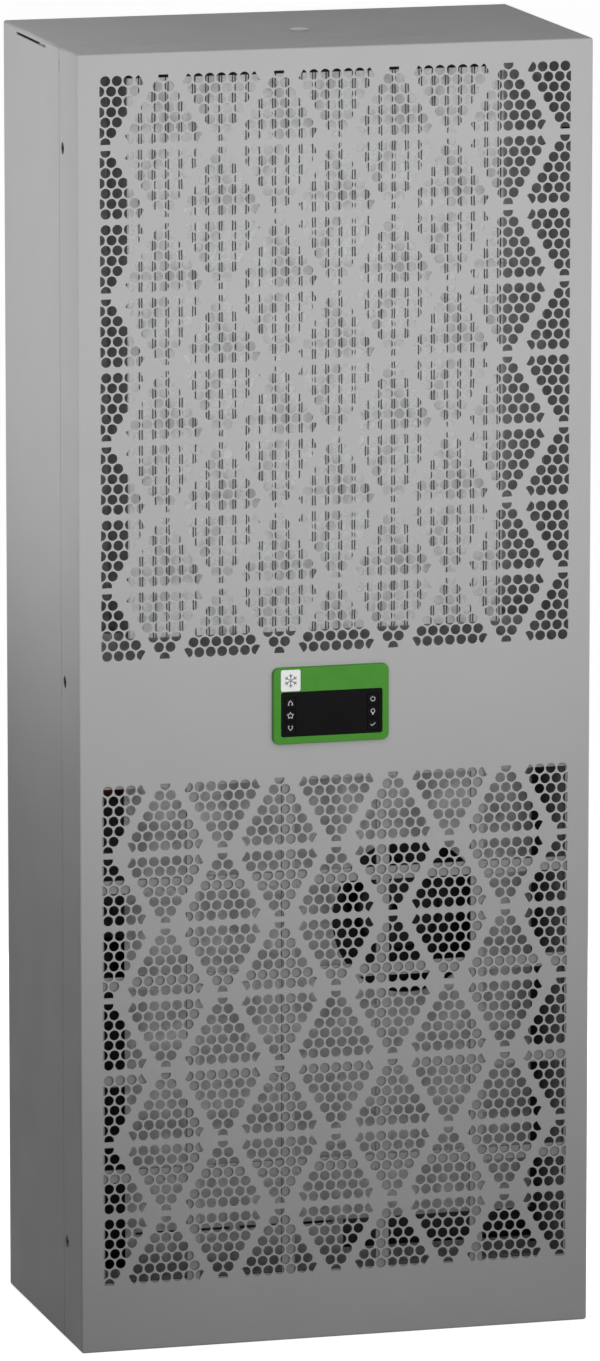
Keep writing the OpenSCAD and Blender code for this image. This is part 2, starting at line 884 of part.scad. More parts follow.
module evaporator_fan_frame() {
  ring_in = axial_ring_r - axial_ring_t;
  color(black) difference() {
    union() {
      difference() {
        rod_y(axial_x, axial_z, axial_ring_r, axial_front, back_inner);
        rod_y(axial_x, axial_z, ring_in, axial_front - over, back_inner + over);
      }
      ear_places() {
        cylinder(r = ear_r, h = ear_t);
        translate([ring_in + axial_ring_t/2 - ear_distance, -ear_r, 0])
          cube([ear_distance - ring_in - axial_ring_t/2, 2*ear_r, ear_t]);
      }
      for (a = [0:90:270]) translate([axial_x, at_depth(axial_front), axial_z]) rotate([0, a, 0])
        translate([axial_hub_r - over, 0, -strut_w/2])
          cube([ring_in - axial_hub_r + 2*over, axial_motor_t, strut_w]);
    }
    rod_y(axial_x, axial_z, axial_hub_r, axial_front - over, axial_front + axial_motor_t + over);
    ear_places() translate([0, 0, -over]) cylinder(r = ear_screw_r, h = ear_t + 2*over);
  }
}

module evaporator_fan_motor() {
  color(zinc) {
    rod_y(axial_x, axial_z, axial_hub_r, axial_front, axial_front + axial_motor_t);
    rod_y(axial_x, axial_z, shaft_r, axial_front + axial_motor_t,
      axial_front + axial_motor_t + axial_shaft_l);
  }
}

module evaporator_fan_rotor() {
  hub_back = axial_hub_front + axial_hub_l;
  color(black) difference() {
    union() {
      rod_y(axial_x, axial_z, axial_hub_r, axial_hub_front, hub_back);
      intersection() {
        for (i = [0:blades - 1])
          translate([axial_x, at_depth(axial_hub_front + axial_hub_l/2), axial_z])
            rotate([0, i*360/blades, 0]) translate([axial_r/2, 0, 0]) rotate([blade_lean, 0, 0])
              cube([axial_r, blade_t, blade_w], center = true);
        difference() {
          rod_y(axial_x, axial_z, axial_r, axial_hub_front, hub_back);
          rod_y(axial_x, axial_z, axial_hub_r/2, axial_hub_front - over, hub_back + over);
        }
      }
    }
    rod_y(axial_x, axial_z, bore_r, axial_hub_front - over, hub_back + over);
  }
}

module fan_screws() {
  color(zinc) ear_places() {
    translate([0, 0, ear_t]) cylinder(r = ear_head_r, h = ear_head_h);
    translate([0, 0, -sheet]) cylinder(r = ear_screw_r, h = ear_t + sheet);
  }
}

module finger_guard() {
  color(zinc) {
    for (i = [1:guard_rings]) difference() {
      rod_y(axial_x, axial_z, i*guard_step + guard_wire, back_outer, back_outer + guard_wire);
      rod_y(axial_x, axial_z, i*guard_step, back_outer - over, back_outer + guard_wire + over);
    }
    for (a = [45, 135]) translate([axial_x, at_depth(back_outer), axial_z]) rotate([0, a, 0])
      translate([-warm_port_d/2 - guard_lap, 0, -guard_wire/2])
        cube([warm_port_d + 2*guard_lap, guard_wire, guard_wire]);
  }
}

// Compressor
function dome(r, h, rise) = [for (a = [0:15:90]) [r*cos(a), h + rise*sin(a)]];

module can(r, h, rise) {
  rotate_extrude() polygon(concat(
    [[0, 0], [r*can_base_share, 0], [r, rise*can_bevel_share]], dome(r, h - rise, rise)
  ));
}

module compressor_solid() {
  translate([comp_x, at_depth(comp_depth), comp_z]) can(comp_r, compressor_h, comp_dome);
}

module foot_places() {
  for (a = [90, 210, 330]) translate([comp_x, at_depth(comp_depth), 0]) rotate(a)
    translate([comp_foot_r, 0, 0]) children();
}

module compressor_shell() {
  color(black) compressor_solid();
}

module compressor_plate() {
  color(black) difference() {
    union() {
      rod_z(comp_x, comp_depth, comp_r*comp_plate_share, comp_foot_z, comp_z);
      for (a = [90, 210, 330]) translate([comp_x, at_depth(comp_depth), comp_foot_z]) rotate(a)
        translate([0, -comp_pad_r, 0]) cube([comp_foot_r, 2*comp_pad_r, comp_plate_t]);
      foot_places() translate([0, 0, comp_foot_z]) cylinder(r = comp_pad_r, h = comp_plate_t);
    }
    foot_places() translate([0, 0, comp_foot_z - over])
      cylinder(r = foot_bolt_r, h = comp_plate_t + 2*over);
  }
}

module compressor_grommets() {
  color("#2a2a2a") foot_places() translate([0, 0, sheet]) difference() {
    cylinder(r = grommet_r, h = comp_foot_z - sheet);
    translate([0, 0, -over]) cylinder(r = foot_bolt_r, h = comp_foot_z + over);
  }
}

module compressor_bolts() {
  color(zinc) foot_places() {
    translate([0, 0, sheet]) cylinder(r = foot_bolt_r, h = comp_z - sheet);
    translate([0, 0, comp_z]) cylinder(r = foot_bolt_head_r, h = foot_bolt_head_h, $fn = 6);
  }
}

module terminal_cap() {
  color("#30343a") difference() {
    rod_z(comp_x - comp_r/2, comp_depth, cap_r, comp_top - comp_dome, comp_top + cap_h);
    compressor_solid();
  }
}

module accumulator_solid() {
  translate([acc_x, at_depth(evap_mid), acc_z]) can(acc_r, acc_h, acc_dome);
}

module accumulator() {
  inlet_z = comp_z + comp_dome;
  color(black) {
    accumulator_solid();
    difference() {
      pipe([[acc_x, evap_mid, acc_z], [acc_x, evap_mid, inlet_z], [comp_x, evap_mid, inlet_z]],
        acc_pipe_r, pipe_r);
      compressor_solid();
    }
  }
}

// Pipework
module discharge_pipe() {
  top = comp_top + 3*pipe_bend;
  color(copper) difference() {
    pipe([[comp_x, comp_depth, comp_top - comp_dome], [comp_x, comp_depth, top],
      [comp_x, riser_depth, top], [comp_x, riser_depth, port_high],
      [comp_x, cond_back, port_high]], pipe_r, pipe_d);
    compressor_solid();
  }
}

module suction_pipe() {
  z = evap_low + bend_first;
  color(copper) pipe([[-evap_half - sheet, evap_mid, z], [suction_x, evap_mid, z],
    [suction_x, evap_mid, suction_z], [acc_x, evap_mid, suction_z],
    [acc_x, evap_mid, acc_z + acc_h]], pipe_r, pipe_d);
}

module liquid_pipe() {
  color(copper) {
    pipe([[drier_x, cond_back, port_low], [drier_x, riser_depth, port_low],
      [drier_x, riser_depth, drier_z + drier_h - over]], liquid_r, liquid_bend);
    translate([drier_x, at_depth(riser_depth), drier_z]) rotate_extrude() polygon([
      [0, 0], [liquid_r, 0], [drier_r, drier_neck], [drier_r, drier_h - drier_neck],
      [liquid_r, drier_h], [0, drier_h]
    ]);
  }
}

module capillary_tube() {
  rise = wall_depth + drier_r;
  drop = drier_z - 3*capillary_bend;
  color(copper) pipe([[drier_x, riser_depth, drier_z], [drier_x, riser_depth, drop],
    [drier_x, rise, drop], [drier_x, rise, evap_low + bend_first],
    [drier_x, evap_depth, evap_low + bend_first]], capillary_r, capillary_bend);
}

// Electrics
module electrics_box() {
  color("#3a3d42") difference() {
    block(ebox_x, ebox_x + ebox_w, ebox_depth, ebox_depth + ebox_l, ebox_z, ebox_z + ebox_h);
    block(ebox_x + ebox_wall, ebox_x + ebox_w - ebox_wall, ebox_depth - over,
      ebox_depth + ebox_l - ebox_wall, ebox_z + ebox_wall, ebox_z + ebox_h - ebox_wall);
    rod_y(grommet_x, grommet_z, cable_hole_r, ebox_depth, ebox_depth + ebox_l + over);
  }
}

module electrics_lid() {
  color("#3a3d42") block(ebox_x, ebox_x + ebox_w, ebox_depth - lid_t, ebox_depth,
    ebox_z, ebox_z + ebox_h);
}

module run_capacitor() {
  color("#d0d2d3") rod_z(ebox_x + ebox_w/4, ebox_depth + ebox_l/2, cap_can_r,
    ebox_z + ebox_wall, ebox_z + ebox_wall + cap_can_h);
}

module terminal_block() {
  x0 = ebox_x + (ebox_w - block_w)/2;
  wall = ebox_depth + ebox_l - ebox_wall;
  color("#c9ccc9") difference() {
    block(x0, x0 + block_w, wall - block_l, wall, block_z, block_z + block_h);
    for (i = [0:poles - 1])
      rod_y(x0 + (i + 0.5)*block_w/poles, block_z + block_h/2, pole_r, wall - block_l - over,
        wall - block_l + pole_deep);
  }
}

module cable_grommet() {
  color(black) translate([grommet_x, at_depth(back_inner - cable_rim_t), grommet_z]) rotate([-90, 0, 0])
    rotate_extrude() polygon([
      [cable_bore_r, 0], [cable_rim_r, 0], [cable_rim_r, cable_rim_t], [cable_hole_r, cable_rim_t],
      [cable_hole_r, cable_rim_t + sheet], [cable_rim_r, cable_rim_t + sheet],
      [cable_rim_r, 2*cable_rim_t + sheet], [cable_bore_r, 2*cable_rim_t + sheet]
    ]);
}

// Controller
module controller_bezel() {
  color("#4b8f32") difference() {
    facing(-bezel_proud, 0) translate([ctrl_x, ctrl_z]) rounded(bezel_w, bezel_h, bezel_r);
    block(win_x - window_w/2, win_x + window_w/2, -bezel_proud - over, window_back,
      win_z - window_h/2, win_z + window_h/2);
    block(win_x - window_w/2 + window_lip, win_x + window_w/2 - window_lip, -bezel_proud, over,
      win_z - window_h/2 + window_lip, win_z + window_h/2 - window_lip);
  }
}

module key_place(column, row) {
  translate([win_x + column*key_dx, 0, win_z - key_drop + row*key_dz]) children();
}

module display_window() {
  hole = key_size/2 + key_gap;
  color(black) difference() {
    block(win_x - window_w/2, win_x + window_w/2, window_front, window_back,
      win_z - window_h/2, win_z + window_h/2);
    for (column = [-1, 1], row = [-1:1]) key_place(column, row)
      block(-hole, hole, window_front - over, window_back + over, -hole, hole);
  }
}

module controller_case() {
  out_x = case_w/2 - case_gap;
  out_z = case_h/2 - case_gap;
  color("#26272a") {
    difference() {
      block(ctrl_x - out_x, ctrl_x + out_x, 0, case_l, ctrl_z - out_z, ctrl_z + out_z);
      block(ctrl_x - out_x + case_wall, ctrl_x + out_x - case_wall, -over, case_l - case_wall,
        ctrl_z - out_z + case_wall, ctrl_z + out_z - case_wall);
    }
    for (s = [-1, 1]) {
      x = ctrl_x + s*(out_x + clip_w/2);
      block(x - clip_w/2, x + clip_w/2, sheet, sheet + clip_l, ctrl_z - clip_h/2, ctrl_z + clip_h/2);
    }
  }
}

module controller_board() {
  out_x = case_w/2 - case_gap - case_wall;
  out_z = case_h/2 - case_gap - case_wall;
  color("#2f6b45") {
    block(ctrl_x - out_x, ctrl_x + out_x, board_depth, board_depth + board_t,
      ctrl_z - out_z, ctrl_z + out_z);
    for (column = [-1, 1], row = [-1:1]) key_place(column, row)
      rod_y(0, 0, switch_r, switch_front, board_depth);
  }
}

module key(column, row) {
  foot = key_size/2 + key_flange;
  color(black) key_place(column, row) {
    block(-key_size/2, key_size/2, window_front, window_back + key_gap/2,
      -key_size/2, key_size/2);
    block(-foot, foot, window_back + key_gap/2, key_flange_back, -foot, foot);
    rod_y(0, 0, key_stem_r, key_flange_back, key_stem_end);
  }
}

module key_up() { key(-1, 1); }
module key_mode() { key(-1, 0); }
module key_down() { key(-1, -1); }
module key_power() { key(1, 1); }
module key_lamp() { key(1, 0); }
module key_set() { key(1, -1); }

front_cover();
cover_sides();
cover_screws();
cover_lips();
left_panel();
right_panel();
top_panel();
bottom_panel();
back_panel();
rear_seal();
rear_inserts();
lifting_insert();
lifting_plug();
filter_grid();
grid_clips();
inner_plate();
inlet_ring();
condenser_core();
condenser_ends();
condenser_fan_wheel();
condenser_fan_motor();
fan_posts();
motor_carrier();
partition_wall();
chamber_floor();
evaporator_core();
evaporator_hood();
evaporator_bends();
condensate_tray();
drain_pipe();
evaporator_fan_rotor();
evaporator_fan_motor();
evaporator_fan_frame();
fan_screws();
finger_guard();
compressor_shell();
compressor_plate();
compressor_grommets();
compressor_bolts();
terminal_cap();
accumulator();
discharge_pipe();
suction_pipe();
liquid_pipe();
capillary_tube();
electrics_box();
electrics_lid();
run_capacitor();
terminal_block();
cable_grommet();
controller_bezel();
display_window();
controller_case();
controller_board();
key_up();
key_mode();
key_down();
key_power();
key_lamp();
key_set();
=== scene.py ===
import bmesh
import bpy
import json
import math
import random
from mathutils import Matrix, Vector
from mathutils.geometry import delaunay_2d_cdt


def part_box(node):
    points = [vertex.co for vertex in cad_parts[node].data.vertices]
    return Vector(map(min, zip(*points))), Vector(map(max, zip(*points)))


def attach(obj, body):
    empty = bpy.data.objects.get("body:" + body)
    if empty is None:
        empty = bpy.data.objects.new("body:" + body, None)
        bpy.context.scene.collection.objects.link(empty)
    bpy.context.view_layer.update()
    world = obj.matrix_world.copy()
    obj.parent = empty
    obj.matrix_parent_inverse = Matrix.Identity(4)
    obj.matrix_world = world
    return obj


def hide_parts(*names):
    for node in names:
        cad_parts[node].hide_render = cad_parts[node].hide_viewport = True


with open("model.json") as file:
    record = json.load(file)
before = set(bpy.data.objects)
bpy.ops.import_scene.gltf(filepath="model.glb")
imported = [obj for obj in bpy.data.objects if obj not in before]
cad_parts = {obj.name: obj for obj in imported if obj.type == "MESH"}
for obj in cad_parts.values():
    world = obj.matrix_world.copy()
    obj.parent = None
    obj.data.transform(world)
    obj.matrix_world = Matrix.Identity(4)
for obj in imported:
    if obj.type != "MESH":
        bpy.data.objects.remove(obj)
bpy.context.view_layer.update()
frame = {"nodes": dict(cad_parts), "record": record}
nodes = frame["nodes"]

# ---------------------------------------------------------------- main sizes, in mm
# A place is (x, depth behind the front sheet, z).
MM = 1000
HALF_W, INNER, SHEET = 202.0, 200.5, 1.5
TOP, DEPTH = 1000.0, 228.0
COVER_END, BODY_START = 54.0, 54.8
FOLD, FOLD_STEPS = 1.5, 5
CORNER, CORNER_STEPS = 0.5, 4

# The grilles are strips of triangles of round holes; a corner hole reaches only CUT towards its corner.
PITCH, HOLE_R, ROWS, CUT = 9.0, 3.75, 7, 1.2
ROW = PITCH * math.sqrt(3) / 2
FIELD = (ROWS - 1) * ROW - (HOLE_R - CUT)
BETWEEN_STRIPS = 12.0
STRIP = FIELD + BETWEEN_STRIPS
TRIANGLE_PITCH, TRIANGLES_ASIDE = 45.0, 4
GRILLE_HALF_W, SLIVER = 184.5, 0.3
UPPER_TOP, UPPER_STRIPS = 979.3, 8
LOWER_BOTTOM, LOWER_STRIPS = 56.1, 7
UPPER_BOTTOM = UPPER_TOP - (UPPER_STRIPS - 1) * STRIP - FIELD
LOWER_TOP = LOWER_BOTTOM + (LOWER_STRIPS - 1) * STRIP + FIELD

# The key panel: its middle, its green bezel and the black window in it.
PANEL_RIGHT, PANEL_UP = -5.0, 7.4
CX, CZ = PANEL_RIGHT, (UPPER_BOTTOM + LOWER_TOP) / 2 + PANEL_UP
BEZEL_W, BEZEL_H, PROUD = 91.4, 59.1, 3.5
WIN_W, WIN_H = 80.2, 34.6
WIN_RIGHT, WIN_FROM_BOTTOM = 0.5, 5.6
WX, WZ = CX + WIN_RIGHT, CZ - BEZEL_H / 2 + WIN_FROM_BOTTOM + WIN_H / 2
WIN_F, WIN_B = -3.0, -1.0


def at(x, f, z):
    """A place in the frame, in metres."""
    return Vector((x / MM, (f - DEPTH / 2) / MM, z / MM))


def in_mm(box):
    """A node's box as x0, x1, f0, f1, z0, z1."""
    lo, hi = box
    return lo.x * MM, hi.x * MM, lo.y * MM + DEPTH / 2, hi.y * MM + DEPTH / 2, lo.z * MM, hi.z * MM


# ---------------------------------------------------------------- flat loops of (x, z)
SMALLEST_R = 0.01


def turns(n):
    """n angles once round."""
    return [2 * math.pi * i / n for i in range(n)]


def circle(cx, cz, r, sides, turn=0.0):
    return [(cx + r * math.cos(turn + a), cz + r * math.sin(turn + a)) for a in turns(sides)]


def rounded(cx, cz, w, h, r, off, steps):
    """A rectangle with round corners, grown by off."""
    hw, hh, r = w / 2 + off, h / 2 + off, max(r + off, SMALLEST_R)
    pts = []
    for q, (sx, sz) in enumerate(((1, 1), (-1, 1), (-1, -1), (1, -1))):
        for i in range(steps + 1):
            a = math.pi / 2 * (q + i / steps)
            pts.append((cx + sx * (hw - r) + r * math.cos(a), cz + sz * (hh - r) + r * math.sin(a)))
    return pts


def framed(half_w, z0, z1):
    """A plain rectangle about the middle."""
    return [(-half_w, z0), (half_w, z0), (half_w, z1), (-half_w, z1)]


def widened(loop, k):
    """A loop made k times as wide about its own middle."""
    cx, cz = sum(p[0] for p in loop) / len(loop), sum(p[1] for p in loop) / len(loop)
    return [(cx + (p[0] - cx) * k, cz + (p[1] - cz) * k) for p in loop]


def clip(loop, c, d, limit):
    """Keeps the part of a loop whose reach along d from c is at most limit."""
    out = []
    n = len(loop)
    reach = [(p[0] - c[0]) * d[0] + (p[1] - c[1]) * d[1] - limit for p in loop]
    for i in range(n):
        j = (i + 1) % n
        if reach[i] <= 0:
            out.append(loop[i])
        if (reach[i] < 0 < reach[j]) or (reach[j] < 0 < reach[i]):
            t = reach[i] / (reach[i] - reach[j])
            out.append((loop[i][0] + t * (loop[j][0] - loop[i][0]),
                        loop[i][1] + t * (loop[j][1] - loop[i][1])))
    return out


def ring(loop, f):
    """A flat loop at one depth."""
    return [at(x, f, z) for x, z in loop]


def facing(f):
    """Maps (u, v) to the upright plane at one depth."""
    return lambda u, v: at(u, f, v)


def quarter(steps):
    """The angles of a quarter turn."""
    return [math.pi / 2 * i / steps for i in range(steps + 1)]


# ---------------------------------------------------------------- pieces
ONLY_INSIDE, CDT_EPSILON = 1, 1e-5
MERGE_WITHIN = 2e-6
MOST_CORNERS = 12  # a hole with more points than this is a round one
TURN_SIDES = 72
SHARPEST = 0.35    # keeps a line's sharp corner from reaching far out


class Piece:
    """A mesh in the making. mat is a face's place in the piece's list of looks."""

    def __init__(self, name):
        self.name, self.v, self.f, self.smooth, self.mat = name, [], [], [], []

    def add(self, verts, faces, smooth=False, mat=0):
        n = len(self.v)
        self.v += verts
        self.f += [[i + n for i in f] for f in faces]
        self.smooth += [smooth] * len(faces)
        self.mat += [mat] * len(faces)

    def loft(self, rings, closed=True, smooth=True, caps=(False, False), mat=0):
        n = len(rings[0])
        faces = []
        for r in range(len(rings) - 1):
            for i in range(n if closed else n - 1):
                j = (i + 1) % n
                faces.append([r * n + i, r * n + j, (r + 1) * n + j, (r + 1) * n + i])
        self.add([p for row in rings for p in row], faces, smooth, mat)
        for cap, row in zip(caps, (rings[0], rings[-1])):
            if cap:
                self.add(list(row), [list(range(n))], False, mat)

    def plate(self, outer, holes, front, back, rim=None, far_holes=None):
        """A flat sheet with holes. front and back map (u, v) to a place, or are None for a side left open; rim
        says which of the outer edges get a wall; far_holes are the back's own loops."""
        far_holes = far_holes or holes
        for side, loops in ((front, [outer] + holes), (back, [outer] + far_holes)):
            if not side:
                continue
            flat, faces = [], []
            for loop in loops:
                faces.append(list(range(len(flat), len(flat) + len(loop))))
                flat += [Vector(p) for p in loop]
            points, _, found, _, _, origins = delaunay_2d_cdt(flat, [], faces, ONLY_INSIDE, CDT_EPSILON, True)
            tris = [list(t) for t, o in zip(found, origins) if o == [0]]
            self.add([side(*p) for p in points], tris if side is front else [t[::-1] for t in tris])
        if front and back:
            for loop, far in zip(holes, far_holes):
                self.loft([[front(*p) for p in loop], [back(*p) for p in far]], smooth=len(loop) > MOST_CORNERS)
        if rim:
            n = len(outer)
            for i in range(n):
                a, b = outer[i], outer[(i + 1) % n]
                if rim(a, b):
                    self.add([front(*a), front(*b), back(*b), back(*a)], [[0, 1, 2, 3]])

    def build(self, looks, body="cabinet", replaces=(), merge=True):
        mesh = bpy.data.meshes.new(self.name)
        mesh.from_pydata([tuple(p) for p in self.v], [], self.f)
        mesh.polygons.foreach_set("use_smooth", self.smooth)
        mesh.polygons.foreach_set("material_index", self.mat)
        if merge:
            bm = bmesh.new()
            bm.from_mesh(mesh)
            bmesh.ops.remove_doubles(bm, verts=bm.verts, dist=MERGE_WITHIN)
            bmesh.ops.recalc_face_normals(bm, faces=bm.faces)
            bm.to_mesh(mesh)
            bm.free()
        mesh.update()
        obj = bpy.data.objects.new(self.name, mesh)
        bpy.context.scene.collection.objects.link(obj)
        for look in looks:
            mesh.materials.append(M[look])
        if replaces:
            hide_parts(*replaces)
        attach(obj, body)


def polar(cx, cz, r, a, f):
    """The place at an angle a about an axis along the depth."""
    return at(cx + r * math.cos(a), f, cz + r * math.sin(a))


def turned(piece, cx, cz, parts):
    """Forms turned about an axis along the depth, each [(radius, depth)], with a sharp edge between them."""
    for part in parts:
        piece.loft([[polar(cx, cz, r, a, f) for a in turns(TURN_SIDES)] for r, f in part])


def standing(piece, cx, cy, profile, sides):
    """A closed form turned about a vertical axis, in metres: profile is [(radius, height)]."""
    piece.loft([[Vector((cx + r * math.cos(a), cy + r * math.sin(a), h)) for a in turns(sides)]
                for r, h in profile], caps=(True, True))


def tube(piece, path, r, sides, mat=0):
    """A round tube of radius r along points, all in metres."""
    rings = []
    side = None
    for i, p in enumerate(path):
        a = path[max(i - 1, 0)]
        b = path[min(i + 1, len(path) - 1)]
        d = (b - a).normalized()
        if side is None:
            side = d.orthogonal().normalized()
        side = (side - d * side.dot(d)).normalized()
        up = d.cross(side)
        rings.append([p + (side * math.cos(t) + up * math.sin(t)) * r for t in turns(sides)])
    piece.loft(rings, caps=(True, True), mat=mat)


def slab(piece, x0, x1, f0, f1, z0, z1, edge, mat=0):
    """A box with chamfered edges."""
    rings = []
    for z, o in ((z0, edge), (z0 + edge, 0), (z1 - edge, 0), (z1, edge)):
        c = edge
        a, b, d, e = x0 + o, x1 - o, f0 + o, f1 - o
        rings.append([at(a + c, d, z), at(b - c, d, z), at(b, d + c, z), at(b, e - c, z),
                      at(b - c, e, z), at(a + c, e, z), at(a, e - c, z), at(a, d + c, z)])
    piece.loft(rings, smooth=False, caps=(True, True), mat=mat)


def stroke(piece, pts, w, closed, f0, f1):
    """A line of width w drawn as a thin raised strip, in the piece's second look."""
    n = len(pts)
    left, right = [], []
    for i in range(n):
        a = pts[(i - 1) % n] if closed or i > 0 else pts[i]
        b = pts[(i + 1) % n] if closed or i < n - 1 else pts[i]
        p = Vector(pts[i])
        d1 = (p - Vector(a)).normalized() if a != pts[i] else (Vector(b) - p).normalized()
        d2 = (Vector(b) - p).normalized() if b != pts[i] else d1
        t = (d1 + d2).normalized()
        m = Vector((-t.y, t.x))
        k = w / 2 / max(SHARPEST, m.dot(Vector((-d1.y, d1.x))))
        left.append(p + m * k)
        right.append(p - m * k)
    rings = []
    for i in list(range(n)) + ([0] if closed else []):
        l, r = left[i], right[i]
        rings.append([at(l.x, f0, l.y), at(r.x, f0, r.y), at(r.x, f1, r.y), at(l.x, f1, l.y)])
    piece.loft(rings, smooth=False, caps=(not closed, not closed), mat=1)


# ---------------------------------------------------------------- materials
CELL_SHARE = 0.55                   # of the zinc's pattern that comes from its crystals
NOISE_LOW, NOISE_HIGH = 0.25, 0.75  # the noise's usual range
ROUGH_GRAIN = 0.7                   # size of the roughness pattern, as a share of the grain's
GRAIN_DETAIL, ROUGH_DETAIL, BUMP_DETAIL = 4.0, 3.0, 2.0
COAT_ROUGH, SMOOTHEST = 0.12, 0.03


def material(name, color, rough, grain, metallic=0.0, bump=None, streak=None, rough_var=0.06, coat=0.0,
             specular=0.5, cells=None, sheen=0.0):
    """grain: (size mm, share of brightness); bump: (size mm, height mm); streak: (x, y, z) stretch;
    cells: size mm of the crystals."""
    m = bpy.data.materials.new(name)
    m.use_nodes = True
    new, link = m.node_tree.nodes.new, m.node_tree.links.new
    shader = m.node_tree.nodes["Principled BSDF"].inputs
    shader["Metallic"].default_value = metallic
    shader["Specular IOR Level"].default_value = specular
    shader["Coat Weight"].default_value = coat
    shader["Coat Roughness"].default_value = COAT_ROUGH
    shader["Sheen Weight"].default_value = sheen
    place = new("ShaderNodeTexCoord").outputs["Object"]
    if streak:
        mapping = new("ShaderNodeMapping")
        mapping.inputs["Scale"].default_value = streak
        link(place, mapping.inputs["Vector"])
        place = mapping.outputs["Vector"]

    def noise(size_mm, detail):
        texture = new("ShaderNodeTexNoise")
        texture.inputs["Scale"].default_value = MM / size_mm
        texture.inputs["Detail"].default_value = detail
        link(place, texture.inputs["Vector"])
        return texture.outputs["Fac"]

    size, share = grain
    field = noise(size, GRAIN_DETAIL)
    if cells:
        crystals = new("ShaderNodeTexVoronoi")
        crystals.inputs["Scale"].default_value = MM / cells
        link(place, crystals.inputs["Vector"])
        split = new("ShaderNodeSeparateColor")
        link(crystals.outputs["Color"], split.inputs["Color"])
        rest = new("ShaderNodeMath")
        rest.operation = "MULTIPLY"
        rest.inputs[1].default_value = 1 - CELL_SHARE
        link(field, rest.inputs[0])
        both = new("ShaderNodeMath")
        both.operation = "MULTIPLY_ADD"
        both.inputs[1].default_value = CELL_SHARE
        link(split.outputs["Red"], both.inputs[0])
        link(rest.outputs[0], both.inputs[2])
        field = both.outputs[0]
    ramp = new("ShaderNodeMapRange")
    ramp.inputs["From Min"].default_value = NOISE_LOW
    ramp.inputs["From Max"].default_value = NOISE_HIGH
    link(field, ramp.inputs["Value"])
    blend = new("ShaderNodeMix")
    blend.data_type = "RGBA"
    blend.inputs["A"].default_value = (*[max(0.0, c * (1 - share)) for c in color], 1)
    blend.inputs["B"].default_value = (*[min(1.0, c * (1 + share)) for c in color], 1)
    link(ramp.outputs["Result"], blend.inputs["Factor"])
    link(blend.outputs["Result"], shader["Base Color"])
    worn = new("ShaderNodeMapRange")
    worn.inputs["To Min"].default_value = max(SMOOTHEST, rough - rough_var)
    worn.inputs["To Max"].default_value = min(1.0, rough + rough_var)
    link(noise(size * ROUGH_GRAIN, ROUGH_DETAIL), worn.inputs["Value"])
    link(worn.outputs["Result"], shader["Roughness"])
    if bump:
        relief = new("ShaderNodeBump")
        relief.inputs["Strength"].default_value = 1.0
        relief.inputs["Distance"].default_value = bump[1] / MM
        link(noise(bump[0], BUMP_DETAIL), relief.inputs["Height"])
        link(relief.outputs["Normal"], shader["Normal"])
    return m


LOOKS = {
    "painted_sheet": dict(color=(0.455, 0.455, 0.455), rough=0.6, grain=(60, 0.018), bump=(0.9, 0.045),
                          specular=0.15),
    "black_screw": dict(color=(0.006, 0.006, 0.007), rough=0.5, grain=(3, 0.2), bump=(0.6, 0.03), specular=0.06),
    "zinc_sheet": dict(color=(0.46, 0.465, 0.47), rough=0.5, metallic=0.15, grain=(26, 0.12), cells=9,
                       bump=(1.4, 0.02)),
    "zinc_steel": dict(color=(0.5, 0.5, 0.49), rough=0.33, metallic=0.85, grain=(6, 0.1), bump=(1.0, 0.02)),
    "seal_foam": dict(color=(0.022, 0.022, 0.023), rough=0.9, grain=(1.5, 0.35), bump=(0.8, 0.25), sheen=0.15),
    "filter_frame": dict(color=(0.23, 0.232, 0.235), rough=0.6, grain=(18, 0.05), bump=(0.8, 0.03)),
    "fins": dict(color=(0.775, 0.78, 0.785), rough=0.55, metallic=0.05, grain=(6, 0.06), bump=(0.7, 0.04),
                 streak=(1.0, 1.0, 0.25)),
    "black_plastic": dict(color=(0.010, 0.010, 0.011), rough=0.5, grain=(8, 0.15), bump=(0.7, 0.04),
                          specular=0.25),
    "black_rubber": dict(color=(0.022, 0.022, 0.022), rough=0.7, grain=(5, 0.2), bump=(0.5, 0.05)),
    "copper": dict(color=(0.62, 0.27, 0.15), rough=0.32, metallic=0.9, grain=(9, 0.16), bump=(1.5, 0.02)),
    "tray_plastic": dict(color=(0.66, 0.665, 0.67), rough=0.45, grain=(15, 0.03), bump=(0.8, 0.03)),
    "black_paint": dict(color=(0.018, 0.018, 0.02), rough=0.32, grain=(14, 0.15), bump=(1.2, 0.05), coat=0.3),
    "grey_plastic": dict(color=(0.045, 0.048, 0.055), rough=0.5, grain=(8, 0.1), bump=(0.7, 0.05)),
    "capacitor_can": dict(color=(0.62, 0.62, 0.62), rough=0.25, metallic=0.9, grain=(5, 0.06),
                          streak=(1, 1, 0.1), bump=(0.6, 0.01)),
    "light_plastic": dict(color=(0.55, 0.57, 0.55), rough=0.45, grain=(8, 0.04), bump=(0.6, 0.03)),
    "green_plastic": dict(color=(0.068, 0.282, 0.031), rough=0.42, grain=(12, 0.05), bump=(0.9, 0.012),
                          specular=0.08),
    "window": dict(color=(0.007, 0.007, 0.008), rough=0.22, grain=(10, 0.1), rough_var=0.03, specular=0.02),
    "board": dict(color=(0.03, 0.14, 0.06), rough=0.4, grain=(4, 0.2), bump=(1.0, 0.02)),
    "key_rubber": dict(color=(0.007, 0.007, 0.008), rough=0.24, grain=(6, 0.12), rough_var=0.04, specular=0.02),
    "badge": dict(color=(0.78, 0.79, 0.79), rough=0.28, grain=(9, 0.02), bump=(0.6, 0.008), coat=0.3),
    "icon": dict(color=(0.78, 0.79, 0.80), rough=0.4, grain=(2, 0.05), bump=(0.4, 0.005)),
    # painted shade: a dark colour for the shade deep in the coil, seen in the gaps between the fin bands
    "core_painted_shade": dict(color=(0.12, 0.12, 0.122), rough=0.8, grain=(4, 0.3), bump=(1.0, 0.1)),
}
M = {name: material(name, **look) for name, look in LOOKS.items()}
row_slots = {p["node"]: p["material_slot"] for p in frame["record"]["subparts"]}
